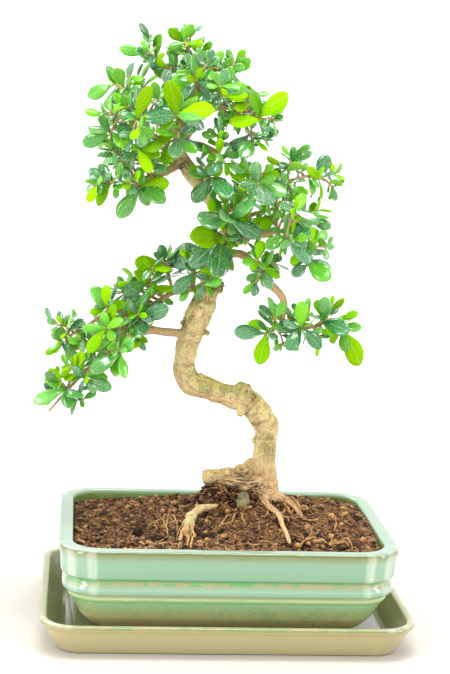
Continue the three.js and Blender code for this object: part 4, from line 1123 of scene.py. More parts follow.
class BONSAI_OT_soil(bpy.types.Operator):
    """Fills the pot with crumbly soil"""
    bl_idname = "bonsai.soil"
    bl_label = "Soil"

    def execute(self, context):
        settings = context.scene.bonsai_soil
        length, depth = spans("pot")
        half_x, half_y = length / 2 - SOIL_RIM, depth / 2 - SOIL_RIM
        corner = POT_CORNER - SOIL_RIM * 0.55
        cell = settings.cell / MM
        bpy.ops.object.select_all(action="DESELECT")
        bpy.ops.mesh.primitive_grid_add(
            x_subdivisions=int(2 * half_x / cell), y_subdivisions=int(2 * half_y / cell), size=2)
        soil = bpy.context.object
        soil.name = soil.data.name = "soil_bed"
        places = points_of(soil.data)
        x, y = places[:, 0] * half_x, places[:, 1] * half_y
        a = np.clip((np.abs(x) - half_x + corner) / corner, 0, 1)
        b = np.clip((np.abs(y) - half_y + corner) / corner, 0, 1)
        bend_x = np.where((a > 0) & (b > 0), a * (1 - np.sqrt(1 - b * b / 2)) * corner, 0)
        bend_y = np.where((a > 0) & (b > 0), b * (1 - np.sqrt(1 - a * a / 2)) * corner, 0)
        x, y = x - np.sign(x) * bend_x, y - np.sign(y) * bend_y
        edge = np.clip((1 - np.maximum(np.abs(places[:, 0]), np.abs(places[:, 1]))) * 12, 0, 1)
        z = [soil_height(px, py) + crumbly(px, py) * share for px, py, share in zip(x, y, edge)]
        move_points(soil.data, np.column_stack([x, y, z]) * MM)
        only(soil)
        open_edit()
        bpy.ops.mesh.region_to_loop()
        inset_before = SOIL_RIM
        for inset, height in SOIL_SIDE:
            bpy.ops.mesh.extrude_region_move()
            mesh = bmesh.from_edit_mesh(soil.data)
            share_x = (length / 2 - inset) / (length / 2 - inset_before)
            share_y = (depth / 2 - inset) / (depth / 2 - inset_before)
            for point in mesh.verts:
                if point.select:
                    point.co = (point.co.x * share_x, point.co.y * share_y, height * MM)
            bmesh.update_edit_mesh(soil.data)
            inset_before = inset
        bpy.ops.mesh.edge_face_add()
        close_edit()
        bpy.ops.object.shade_smooth()
        # The soil's top gets its painted shading: painted shade in its hollows, painted light on its crumbs
        relief = [painted_soil_shading(*place[:2]) if place[2] > SOIL_SHADE else 0 for place in points_of(soil.data) / MM]
        give(soil.data, "tone", np.column_stack([relief, *np.zeros((2, len(relief)))]))
        soil.data.materials.append(humus("peaty_soil", settings.dark, settings.pale, 420))
        dressed(soil, "soil", "soil")
        return {"FINISHED"}


class BONSAI_OT_litter(bpy.types.Operator):
    """Strews crumbs, fibres, clay pellets, a peat lump and a stone on the soil"""
    bl_idname = "bonsai.litter"
    bl_label = "Crumbs, Fibres and Stone"

    def execute(self, context):
        settings = context.scene.bonsai_soil
        length, depth = spans("pot")
        half_x, half_y = length / 2 - SOIL_RIM - CRUMB_INSET, depth / 2 - SOIL_RIM - CRUMB_INSET
        crumb = rough_ball("crumb", 1, 0.9, 1.7, 3)
        matrices, tones = [], []
        for i in range(settings.crumbs):
            x, y = (draw(i, 21) * 2 - 1) * half_x, (draw(i, 22) * 2 - 1) * half_y
            away = max(abs(x) - half_x + CRUMB_CORNER, 0) ** 2 + max(abs(y) - half_y + CRUMB_CORNER, 0) ** 2
            if away > CRUMB_CORNER ** 2:
                continue
            size = mix(0.4, 2.1, draw(i, 23) ** 3)
            turn = Matrix.Rotation(draw(i, 24) * FULL_TURN, 4, "Z") @ Matrix.Rotation(draw(i, 25) - 0.5, 4, "Y")
            shape = (size * mix(1, 2.6, draw(i, 26) ** 2), size, size * mix(0.45, 0.9, draw(i, 28)))
            matrices.append(placed((x, y, on_soil(x, y) + size * 0.25), turn, shape))
            # Each crumb's own tone, darkened by the painted shade of the hollow that it lies in
            tones.append((mix(-0.14, 0.36, draw(i, 27) ** 1.8) + min(painted_soil_shading(x, y), 0), 0, 0))
        for i in range(settings.heaped):
            x, y, reach, high = HEAPS[i % len(HEAPS)]
            way, away = draw(i, 91) * FULL_TURN, draw(i, 92) ** 0.6
            x, y = x + math.cos(way) * away * reach, y + math.sin(way) * away * reach * 0.7
            size = mix(0.6, 1.9, draw(i, 93) ** 2)
            place = (x, y, on_soil(x, y) + (1 - away) * high * mix(0.3, 1, draw(i, 94)))
            turn = Matrix.Rotation(draw(i, 95) * FULL_TURN, 4, "Z") @ Matrix.Rotation(draw(i, 96) - 0.5, 4, "X")
            matrices.append(placed(place, turn, (size * mix(1, 2.2, draw(i, 97)), size, size * 0.8)))
            tones.append((mix(-0.2, 0.16, draw(i, 98)), 0, 0))
        crumbs = repeated("soil_crumbs", crumb.data, matrices, tones)
        bpy.data.objects.remove(crumb)
        crumbs.data.materials.append(humus("loose_soil_crumbs", settings.dark, settings.pale, 700))
        dressed(crumbs, "soil")
        self.strew_fibres(settings, half_x, half_y)
        self.lay_lumps(settings)
        return {"FINISHED"}

    def strew_fibres(self, settings, half_x, half_y):
        lines = []
        for i in range(settings.fibres):
            x, y = (draw(i, 31) * 2 - 1) * (half_x - 6), (draw(i, 32) * 2 - 1) * (half_y - 6)
            way, size = draw(i, 33) * FULL_TURN, mix(2.5, 9, draw(i, 34) ** 2)
            line = []
            for step in range(5):
                line.append((x, y, on_soil(x, y) + mix(0.1, 1.1, draw(i * 7 + step, 35))))
                way += (draw(i * 7 + step, 36) - 0.5) * 1.3
                x, y = x + math.cos(way) * size / 4, y + math.sin(way) * size / 4
            radius = mix(0.12, 0.36, draw(i, 37) ** 2)
            lines.append((np.array(line), [radius, radius, radius, radius, radius * 0.5]))
        fibres = tubes("soil_fibres", lines, 0)
        # Peat fibres: matt, from straw to dark red-brown
        material, tree, place = new_material("peat_fibre")
        patch = add_node(tree, "TexNoise", {"Vector": place, "Scale": 230, "Detail": 3})
        ramp = add_node(tree, "ValToRGB", {"Fac": patch}, [
            (0.33, linear("#2e1b10")), (0.48, linear("#6a4528")), (0.62, linear("#ab7f50")),
        ])
        close_material(tree, {"Base Color": ramp, "Roughness": 0.9})
        fibres.data.materials.append(material)
        dressed(fibres, "soil")

    def lay_lumps(self, settings):
        clay = self.fired_clay(settings)
        looks = {
            "peat_lump_left": (humus("peat_lump_humus", settings.dark, settings.pale, 500), "peat"),
            "stone": (self.river_stone(settings), "stone"),
        }
        for name, seed in LOOSE:
            stone = name == "stone"
            lump = rough_ball(f"{name}_rough", 4 if stone else 3, 0.3, 1.6, seed)
            places = points_of(lump.data)
            low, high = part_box(name)
            centre, half = (np.array(low) + high) / 2 / MM, (np.array(high) - low) / 2 / MM
            if stone:
                # Narrower towards its top, and a little larger than the solid's
                places[:, :2] *= 1.05 - 0.25 * places[:, 2:3]
                centre, half = centre + (0, 0, 1), half * (1.15, 1, 1.1)
            spread = np.abs(places).max(0)
            move_points(lump.data, (places / spread * half + centre) * MM)
            give(lump.data, "tone", np.tile((-0.22, 0, 0), (len(places), 1)))
            bpy.ops.object.shade_smooth()
            material, slot = looks.get(name, (clay, "clay_pellet"))
            lump.data.materials.append(material)
            dressed(lump, slot, name)
        pellet = rough_ball("pellet", 2, 0.35, 1.4, 9)
        matrices = [
            placed((x, y, on_soil(x, y) + size * 0.3), Matrix.Rotation(x, 4, "Z"), (size * 1.15, size, size * 0.85))
            for x, y, size in SCATTERED
        ]
        pellets = repeated("clay_pellets", pellet.data, matrices, [(0, 0, 0)] * len(matrices))
        bpy.data.objects.remove(pellet)
        pellets.data.materials.append(clay)
        dressed(pellets, "clay_pellet")

    def fired_clay(self, settings):
        """Baked clay granules: matt and porous, orange-brown with dusty pale patches."""
        material, tree, place = new_material("fired_clay_granule")
        dust = add_node(tree, "TexNoise", {"Vector": place, "Scale": 500, "Detail": 6})
        ramp = add_node(tree, "ValToRGB", {"Fac": dust}, [
            (0.35, linear("#664622")), (0.5, settings.clay), (0.68, linear("#c8a064")),
        ])
        bump = add_node(tree, "Bump", {"Height": dust, "Strength": 0.6, "Distance": 0.0006})
        close_material(tree, {"Base Color": ramp, "Roughness": 0.9, "Normal": bump})
        return material

    def river_stone(self, settings):
        """A weathered grey-green pebble: matt, with fine grain and paler lichen patches."""
        material, tree, place = new_material("weathered_stone")
        grain = add_node(tree, "TexNoise", {"Vector": place, "Scale": 320, "Detail": 8, "Roughness": 0.7})
        ramp = add_node(tree, "ValToRGB", {"Fac": grain}, [
            (0.34, linear("#3f3620")), (0.5, settings.stone), (0.66, linear("#938e6e")),
        ])
        # Earth clings to its lower half
        height = add_node(tree, "SeparateXYZ", {0: place})
        sunk = add_node(tree, "Math", {0: grain, 1: 0.012, 2: height.outputs[2]}, operation="MULTIPLY_ADD")
        earth = add_node(tree, "MapRange", {"Value": sunk, "From Min": 0.0855, "From Max": 0.0815, "To Max": 0.85})
        earthy = add_node(tree, "Mix", {0: earth, 6: ramp, 7: linear("#a8834f")}, data_type="RGBA")
        bump = add_node(tree, "Bump", {"Height": grain, "Strength": 0.7, "Distance": 0.0008})
        close_material(tree, {"Base Color": earthy.outputs[2], "Roughness": 0.85, "Normal": bump})
        return material


# Wood

# Swellings of the bark: the elbow's knob, branch scars, the collar, the stub's bulges and the bent root's joints
KNOBS = [
    (12, 18, 151, 8.5, 8.5, 8.5), (32, 20, 130, 5.5, 6, 7), (-14, 11, 223, 7.5, 7.5, 4.5),
    (-6.8, 10, 226.3, 2.2, 2, 2.6), (-14.8, 10, 193.5, 2, 2.4, 2.2), (-30.5, 11, 200.5, 2, 2, 2.4),
    (10.8, 15, 138.5, 3, 3, 2.6), (-17.3, 10, 164.5, 2.4, 2.4, 2), (21, 20, 119, 2, 2.4, 2.2),
    (-8, 18, 93, 5, 5, 5.4), (4, 22, 95, 5, 5, 4.4), (24, 22, 97, 6, 6, 5), (14, 23, 96.5, 6.5, 5, 4.5),
    (19, 23, 100, 4.5, 5, 5), (-22.5, -14, 72.6, 4, 4.2, 4.2), (-25, -22.5, 70, 4.2, 5, 4),
    (-27, -31.5, 66.2, 4.2, 5, 4.2),
]

# Healed cuts: place, radius and depth
SCARS = [
    (13.5, 10, 154, 3.6, 0.9), (-33.4, 7.5, 160.5, 2.6, 0.7), (-25.6, 7, 165.6, 2.2, 0.6),
    (29, 13.5, 121, 4.2, 0.7), (17.4, 13, 141.8, 4, 0.5), (-13, 4, 224.5, 2.6, 0.8),
]

# Creases across the bark where a ring has grown over, and dark places where earth or old leaf stalks cling
CREASES = [(17.4, 13, 141.8, 1.1), (28, 14, 120.2, 0.9), (23, 13, 131, 0.5), (-28, 7, 172, 0.5), (-17, 5, 216, 0.6)]
STAINS = [
    (-12, 8, 228, 8), (-6, 8, 225, 5), (-30, 8, 200, 4), (6, 20, 82, 13), (-6, 20, 86, 8), (22, 14, 84, 8),
    (31, 14, 74, 6), (-26, -31, 66, 8), (-28, -40, 62, 9), (14, 17, 93, 7), (24, 13, 86, 6), (18, 14, 150, 4),
    (-4, 12, 240, 4), (-36, 4, 305, 6),
]

# Spacing of the samples along a limb, how far a crease reaches, and the radius and height of slender limbs
LIMB_STEP = 2.0
CREASE_REACH = 13
SLENDER_RADIUS = 4.2
SLENDER_ABOVE = 110

# Where dead stalks stand: place and spread
STALKS = [
    (-12, 4, 228, 10), (-8, 5, 226, 9), (-15, 4, 225, 10), (-10, 6, 232, 8), (-4, 8, 236, 7), (-12, 4, 228, 12),
    (-6, 8, 226, 6), (-12, 4, 221, 9), (-30, 10, 201, 6), (3, 16, 96, 12), (-31, 4, 296, 14), (24, 14, 90, 16),
    (-20, 4, 208, 20), (25, 12, 128, 26),
]


def limb_samples(points):
    """Places, radii, lengths from the foot and side vectors along a limb."""
    rows = np.array(points, float)
    mean = np.linalg.norm(np.diff(rows[:, :3], axis=0), axis=1).mean()
    line, radii = line_of(points, max(1, round(mean / LIMB_STEP)))
    steps = np.linalg.norm(np.diff(line, axis=0), axis=1)
    along = np.concatenate([[0], np.cumsum(steps)])
    ways = np.gradient(line, axis=0)
    side, sides = np.array([0.3, 0.2, 1.0]), []
    for way in ways:
        side = square_to(unit(way), side)
        sides.append(side)
    return line, radii, along, np.array(sides), ways / np.linalg.norm(ways, axis=1)[:, None]


def search_tree(places):
    tree = kdtree.KDTree(len(places))
    for row, place in enumerate(places):
        tree.insert(place, row)
    tree.balance()
    return tree


def grain_of(places, limbs):
    """Each point's place in its straightened limb, and the limb's radius there, in millimetres."""
    line, radii, along, sides, ways = (np.concatenate(part) for part in zip(*limbs))
    tree = search_tree(line)
    found = np.array([tree.find(place)[1] for place in places])
    away = places - line[found]
    others = np.cross(ways[found], sides[found])
    across = np.einsum("ij,ij->i", away, sides[found])
    over = np.einsum("ij,ij->i", away, others)
    lengthwise = along[found] + np.einsum("ij,ij->i", away, ways[found])
    return np.column_stack([across, over, lengthwise]), radii[found]


def furrow(grain, radius):
    """Depth of the bark's lengthwise furrows and rough plates at one place."""
    a, b, along = grain
    strand = noise.noise(Vector((a * 0.4, b * 0.4, along * 0.07)))
    fine = noise.noise(Vector((a * 1.1 + 9, b * 1.1, along * 0.4)))
    lump = noise.noise(Vector((a * 0.14, b * 0.14 + 5, along * 0.13)))
    return (strand * 0.6 + fine * 0.5) * min(radius * 0.1, 0.7) + lump * radius * 0.13


class WoodSettings(bpy.types.PropertyGroup):
    voxel: bpy.props.FloatProperty(
        name="Voxel", description="Size of the facets that the wood is made of",
        default=0.0008, min=0.0004, unit="LENGTH")
    stalks: bpy.props.IntProperty(
        name="Dead Stalks", description="Dead leaf stalks and shreds on the bark", default=60, min=0)
    threads: bpy.props.IntProperty(
        name="Root Threads", description="Thin roots strewn over the soil", default=70, min=0)
    pale: colour_choice("Pale Bark", "Bark on its ridges", "#d3c48c")
    # Also the tint of the painted bounce light on the bark's undersides
    warm: colour_choice("Warm Bark", "Bark on the undersides and in its furrows", "#ccac7c")
    light: colour_choice("Light Bark", "Bark where it is rubbed", "#dcd09c")
    # The tint of the painted light on the bark's upper sides
    green: colour_choice("Green Tinge", "Tinge of the bark's upper sides", "#d6dc7c")
    algae: colour_choice("Algae", "Olive shadows on the bark", "#8a8550")
    young: colour_choice("Young Bark", "Rind of the thin limbs", "#b8926c")
    root: colour_choice("Root Rind", "Rind of the thin roots", "#bf8d58")
    base: colour_choice("Foot Bark", "Stringy bark at the foot and on the roots", "#dab183")


class BONSAI_OT_wood(bpy.types.Operator):
    """Grows the trunk, the limbs and the roots with their furrowed bark"""
    bl_idname = "bonsai.wood"
    bl_label = "Trunk, Limbs and Roots"

    def execute(self, context):
        settings = context.scene.bonsai_wood
        limbs = [limb_samples(points) for points in LIMBS.values()]
        wood = tubes("tree_bark", [limb[:2] for limb in limbs], 3)
        knobs = []
        for row, (x, y, z, size_x, size_y, size_z) in enumerate(KNOBS):
            knob = rough_ball(f"knob_{row}", 3, 0.25, 1.5, row)
            move_points(knob.data, (points_of(knob.data) * (size_x, size_y, size_z) + (x, y, z)) * MM)
            knobs.append(knob)
        wood = joined([wood, *knobs], "tree_bark")
        apply_modifier(wood, "REMESH", mode="VOXEL", voxel_size=settings.voxel)
        apply_modifier(wood, "SMOOTH", factor=0.5, iterations=3)
        self.carve(wood, limbs)
        only(wood)
        bpy.ops.object.shade_smooth()
        bark = self.bark(settings, "stringy_bark", settings.young, settings.base)
        rind = self.bark(settings, "root_rind", settings.root, settings.root)
        wood.data.materials.clear()
        wood.data.materials.append(bark)
        dressed(wood, "bark", "tree_wood")
        self.lay_rootlets(settings, rind)
        self.strew_stalks(settings, wood, bark)
        return {"FINISHED"}

    def carve(self, wood, limbs):
        """Cuts furrows and scars into the bark and notes where they are."""
        places = points_of(wood.data) / MM
        normals = np.empty(len(places) * 3)
        wood.data.vertex_normals.foreach_get("vector", normals)
        grain, radii = grain_of(places, limbs)
        depth = np.array([furrow(row, radius) for row, radius in zip(grain, radii)])
        mark = np.zeros(len(places))
        for x, y, z, radius, deep in SCARS:
            away = np.linalg.norm(places - (x, y, z), axis=1) / radius
            ring = np.exp(-((away - 1) / 0.3) ** 2) - 0.9 * np.exp(-(away / 0.6) ** 2)
            depth += ring * deep
            mark = np.maximum(mark, np.abs(ring))
        for x, y, z, deep in CREASES:
            start = grain_of(np.array([[x, y, z]]), limbs)[0][0][2]
            near = np.exp(-(np.linalg.norm(places - (x, y, z), axis=1) / CREASE_REACH) ** 4)
            wave = np.array([noise.noise(Vector(place) * 0.3) for place in places]) * 1.4
            groove = np.exp(-((grain[:, 2] - start - wave) / 0.8) ** 2) * near
            depth -= groove * deep
            mark = np.maximum(mark, groove)
        stain = np.zeros(len(places))
        for x, y, z, radius in STAINS:
            stain = np.maximum(stain, np.exp(-(np.linalg.norm(places - (x, y, z), axis=1) / radius) ** 2))
        move_points(wood.data, (places + normals.reshape(-1, 3) * depth[:, None]) * MM)
        give(wood.data, "grain", grain)
        give(wood.data, "slender", np.clip((SLENDER_RADIUS - radii) / 2, 0, 0.75) * (places[:, 2] > SLENDER_ABOVE))
        give(wood.data, "relief", np.column_stack([depth / np.maximum(radii * 0.11, 0.2), mark, stain]))

    def bark(self, settings, name, young, foot):
        """Thin stringy bark: matt, pale khaki with fibres along the limb, warm and dark in its furrows."""
        material, tree, place = new_material(name)
        height = add_node(tree, "SeparateXYZ", {0: place})
        grain = add_node(tree, "Attribute", attribute_name="grain").outputs["Vector"]
        relief = add_node(tree, "Attribute", attribute_name="relief").outputs["Vector"]
        split = add_node(tree, "SeparateXYZ", {0: relief})
        # Fibres 1 mm wide and some 6 mm long
        fibres = add_node(tree, "Mapping", {"Vector": grain, "Scale": (0.9, 0.9, 0.16)})
        fine = add_node(tree, "TexNoise", {"Vector": fibres, "Scale": 1, "Detail": 8, "Roughness": 0.75})
        # Blotches of 6 mm
        patch = add_node(tree, "TexNoise", {"Vector": place, "Scale": 170, "Detail": 6, "Roughness": 0.68})
        wear_and_painted_light = add_node(tree, "Math", {0: split.outputs[0], 1: 0.1, 2: fine}, operation="MULTIPLY_ADD")
        both = add_node(tree, "Mix", {0: 0.5, 2: wear_and_painted_light, 3: patch})
        ridge = add_node(tree, "ValToRGB", {"Fac": both}, [
            (0.36, linear("#66512f")), (0.44, settings.warm), (0.53, settings.pale), (0.66, settings.light),
        ])
        # Painted light: the upper sides turn yellow-green where the light falls on them, and the undersides warm with
        # painted bounce light
        facing = add_node(tree, "SeparateXYZ", {0: add_node(tree, "NewGeometry").outputs["Normal"]})
        lit = add_node(tree, "Math", {0: patch, 1: 1.6, 2: facing.outputs[2]}, operation="MULTIPLY_ADD")
        above = add_node(tree, "MapRange", {
            "Value": height.outputs[2], "From Min": 0.08, "From Max": 0.1, "To Min": 0.1, "To Max": 0.7,
        })
        painted_upper_light = add_node(tree, "MapRange", {"Value": lit, "From Min": 0.85, "From Max": 1.6, "To Max": above})
        # Painted bounce light: the undersides turn warm
        under = add_node(tree, "MapRange", {"Value": lit, "From Min": 0.75, "From Max": 0.15, "To Max": 0.7})
        # Olive shadows of 10 mm where algae grow
        clouds = add_node(tree, "TexNoise", {"Vector": place, "Scale": 75, "Detail": 5, "Roughness": 0.6})
        darkening = add_node(tree, "Math", {0: facing.outputs[2], 1: 0.08, 2: clouds}, operation="MULTIPLY_ADD")
        algae = add_node(tree, "MapRange", {"Value": darkening, "From Min": 0.54, "From Max": 0.66, "To Max": above})
        # Cracks between plates of 5 by 3 mm, where the bark is rough
        plates = add_node(tree, "Mapping", {"Vector": grain, "Scale": (0.2, 0.2, 0.33)})
        edges = add_node(tree, "TexVoronoi", {"Vector": plates, "Scale": 1}, feature="DISTANCE_TO_EDGE")
        crack = add_node(tree, "MapRange", {"Value": edges, "From Min": 0.055, "From Max": 0.01, "To Max": 1})
        rough = add_node(tree, "MapRange", {"Value": patch, "From Min": 0.52, "From Max": 0.4, "To Max": 0.35})
        cut = add_node(tree, "Math", {0: crack, 1: rough}, operation="MULTIPLY")
        # Dark pores and crumbs of lichen, 0.6 mm wide
        pores = add_node(tree, "TexNoise", {"Vector": place, "Scale": 1100, "Detail": 3, "Roughness": 0.6})
        pore = add_node(tree, "MapRange", {"Value": pores, "From Min": 0.55, "From Max": 0.66, "To Max": 0.6})
        # Pale corky specks
        corky = add_node(tree, "MapRange", {"Value": pores, "From Min": 0.44, "From Max": 0.34, "To Max": 0.6})
        # The thin limbs have a younger, redder rind
        slender = add_node(tree, "Attribute", attribute_name="slender").outputs["Fac"]
        # The foot is warmer, the bent root at the left is bare and pale
        bare = add_node(tree, "MapRange", {
            "Value": height.outputs[0], "From Min": -0.014, "From Max": 0.003, "To Min": 0.1, "To Max": 0.8,
        })
        low = add_node(tree, "MapRange", {
            "Value": height.outputs[2], "From Min": 0.11, "From Max": 0.088, "To Max": bare,
        })
        strands = add_node(tree, "MapRange", {
            "Value": fine, "From Min": 0.36, "From Max": 0.58, "To Min": 0.25, "To Max": 1.25,
        })
        # Rings round the scars, and earth washed into the fibres
        scar = add_node(tree, "Math", {0: split.outputs[1], 1: 0.4}, operation="MULTIPLY")
        streaks = add_node(tree, "MapRange", {
            "Value": fine, "From Min": 0.6, "From Max": 0.42, "To Min": 0.12, "To Max": 1,
        })
        grime = add_node(tree, "Math", {0: split.outputs[2], 1: streaks}, operation="MULTIPLY")
        dirt = add_node(tree, "MapRange", {"Value": grime, "From Min": 0.1, "From Max": 0.6, "To Max": 0.85})
        # The tints in the order above, each by its share
        colour = ridge
        for share, tint, way in (
            # The first two are painted light: on the upper sides and, as bounce light, on the undersides
            (painted_upper_light, settings.green, "MULTIPLY"), (under, settings.warm, "MIX"), (algae, settings.algae, "MIX"),
            (cut, linear("#6e5836"), "MIX"), (pore, linear("#5d4c2b"), "MIX"), (corky, linear("#ebdca2"), "MIX"),
            (slender, young, "MIX"), (low, foot, "MIX"), (low, strands, "MULTIPLY"),
            (scar, linear("#6d5638"), "MIX"), (dirt, linear("#3d2c1a"), "MIX"),
        ):
            colour = add_node(tree, "Mix", {0: share, 6: colour, 7: tint}, data_type="RGBA", blend_type=way).outputs[2]
        lift = add_node(tree, "Math", {0: cut, 1: -0.5, 2: both}, operation="MULTIPLY_ADD")
        bump = add_node(tree, "Bump", {"Height": lift, "Strength": 1.0, "Distance": 0.0014})
        close_material(tree, {"Base Color": colour, "Roughness": 0.82, "Specular IOR Level": 0.3, "Normal": bump})
        return material

    def strew_stalks(self, settings, wood, bark):
        """Dead leaf stalks and bark shreds that stand on the collar and here and there on the trunk."""
        places = points_of(wood.data) / MM
        tree, lines = search_tree(places), []
        for stalk in range(settings.stalks):
            x, y, z, spread = STALKS[stalk % len(STALKS)]
            row = tree.find(np.array([x, y, z]) + stray(stalk, 71) * spread)[1]
            start, way = places[row], np.array(wood.data.vertices[row].normal)
            way, bend = unit(way + stray(stalk, 74) * 1.5), stray(stalk, 77) * 2.5
            size = mix(1.2, 3.4, draw(stalk, 80) ** 2)
            line = np.array([start + way * size * step + bend * step * step / 4 for step in (-0.6, 0.1, 0.7, 1.2)])
            lines.append((line, np.array([1, 1, 0.8, 0.4]) * mix(0.3, 0.8, draw(stalk, 81) ** 2)))
        stalks = tubes("dead_stalks", lines, 1)
        count = len(stalks.data.vertices)
        give(stalks.data, "grain", points_of(stalks.data) / MM)
        give(stalks.data, "relief", np.column_stack([np.zeros(count), np.zeros(count), np.full(count, 0.55)]))
        stalks.data.materials.append(bark)
        dressed(stalks, "bark")

    def lay_rootlets(self, settings, rind):
        lines = []
        for row, (radius, corners) in enumerate(ROOTLETS):
            path = [(x, y, 0, radius) for x, y in corners]
            line, radii = line_of(path, 6)
            for step, place in enumerate(line):
                wave = noise.noise(Vector((place[0] * 0.2, place[1] * 0.2, row))) * 0.9
                line[step] += (wave, wave, on_soil(place[0], place[1]) + radius + abs(wave) * 0.6)
            ends = np.interp(np.arange(len(line)), [0, 2, len(line) - 3, len(line) - 1], [0.6, 1, 0.9, 0.3])
            line[0][2] -= radius * 2
            line[-1][2] -= radius * 2
            lines.append((line, radii * ends * 0.8))
        for radius, corners in FINGERS:
            line, radii = line_of([(*corner, radius) for corner in corners], 8)
            shift = [noise.noise(Vector(place) * 0.3) * 1.1 for place in line]
            radii = radii * [1 + noise.noise(Vector(place) * 0.55) * 0.5 for place in line]
            lines.append((line + np.array(shift)[:, None], radii * np.linspace(1.1, 0.4, len(line))))
        for thread in range(settings.threads):
            x, y = mix(-50, 84, draw(thread, 61)), mix(-54, 12, draw(thread, 62))
            way, size, line = draw(thread, 63) * FULL_TURN, mix(1.2, 3.6, draw(thread, 64)), []
            for step in range(8):
                line.append((x, y, on_soil(x, y) + (0.5 + draw(thread * 9 + step, 65) if 0 < step < 7 else -0.6)))
                way += (draw(thread * 9 + step, 66) - 0.5) * 1.5
                x, y = x + math.cos(way) * size, y + math.sin(way) * size
            lines.append((np.array(line), np.linspace(1, 0.5, 8) * mix(0.28, 0.6, draw(thread, 67) ** 2) * 0.85))
        roots = tubes("fine_roots", lines, 1)
        places = points_of(roots.data) / MM
        limbs = [limb_samples([(*p, r) for p, r in zip(line, radii)]) for line, radii in lines]
        grain, radii = grain_of(places, limbs)
        give(roots.data, "grain", grain)
        stain = [abs(noise.noise(Vector(place) * 0.11)) for place in places]
        give(roots.data, "relief", np.column_stack([np.ones(len(places)), np.zeros(len(places)), stain]))
        give(roots.data, "slender", np.full(len(places), 0.72))
        roots.data.materials.append(rind)
        dressed(roots, "bark")


# Leaves

# Rows of a leaf, as shares of its length and of its half width, and its thickness as a share of its length
LEAF_ROWS = [(0, 0.1), (0.12, 0.24), (0.28, 0.52), (0.46, 0.86), (0.64, 1), (0.8, 0.93), (0.93, 0.62), (1, 0.2)]
LEAF_THICK = 0.026


def leaf_template(name, fold, curl, twist):
    """A spoon-shaped leaf of unit length: a grid whose rows are widened and lifted, given its thickness."""
    bpy.ops.object.select_all(action="DESELECT")
    bpy.ops.mesh.primitive_grid_add(
        x_subdivisions=4, y_subdivisions=len(LEAF_ROWS) - 1, size=1, location=(0, 0, 0))
    leaf = bpy.context.object
    leaf.name = leaf.data.name = name
    rows = len(LEAF_ROWS) - 1
    bpy.ops.object.mode_set(mode="EDIT")
    for row, (along, wide) in enumerate(LEAF_ROWS):
        mesh = bmesh.from_edit_mesh(leaf.data)
        for point in mesh.verts:
            point.select_set(abs(point.co.y - (row / rows - 0.5)) < 1e-4)
        mesh.select_flush_mode()
        bmesh.update_edit_mesh(leaf.data)
        bpy.ops.transform.resize(value=(wide * BLADE_WIDTH, 1, 1))
        lift = BLADE_ARCH * along * (1 - along)
        bpy.ops.transform.translate(value=(0, 2 + along - (row / rows - 0.5), lift))
    bpy.ops.mesh.select_all(action="SELECT")
    bpy.ops.transform.translate(value=(0, -2, 0))
    mesh = bmesh.from_edit_mesh(leaf.data)
    for point in mesh.verts:
        share = abs(point.co.x) / (BLADE_WIDTH / 2)
        point.co.z += fold * share - curl * share * share + twist * point.co.x * (point.co.y - 0.4)
        point.co.y += 0.05 * (share * share) * (0.5 - point.co.y)
    bmesh.update_edit_mesh(leaf.data)
    bpy.ops.object.mode_set(mode="OBJECT")
    apply_modifier(leaf, "SOLIDIFY", thickness=LEAF_THICK, offset=0)
    layer = leaf.data.uv_layers[0]
    layer.name = "leaf"
    for loop in leaf.data.loops:
        place = leaf.data.vertices[loop.vertex_index].co
        layer.data[loop.index].uv = (place.x + 0.5, place.y)
    give(leaf.data, "under", [1.0 if point.normal.z < 0 else 0.0 for point in leaf.data.vertices])
    return leaf


class LeafSettings(bpy.types.PropertyGroup):
    fine_share: bpy.props.FloatProperty(
        name="Fine Leaves", description="Smaller leaves for each leaf of the solid", default=1.2, min=0)
    shoots: bpy.props.IntProperty(
        name="Side Shoots", description="Side shoots tried for each tuft", default=7, min=0)
    fine_low: bpy.props.FloatProperty(
        name="Smallest Leaf", description="Length of the smallest leaf", default=0.008, min=0.002, unit="LENGTH")
    fine_high: bpy.props.FloatProperty(
        name="Longest Fine Leaf", description="Length of the longest of the smaller leaves",
        default=0.0145, min=0.004, unit="LENGTH")
    young: colour_choice("Young Leaf", "The newest leaves", "#90c106")
    middle: colour_choice("Leaf", "Leaves of middle age", "#5bad1c")
    old: colour_choice("Old Leaf", "The oldest leaves", "#2e793c")
    under: colour_choice("Underside", "Undersides of the leaves", "#86c052")


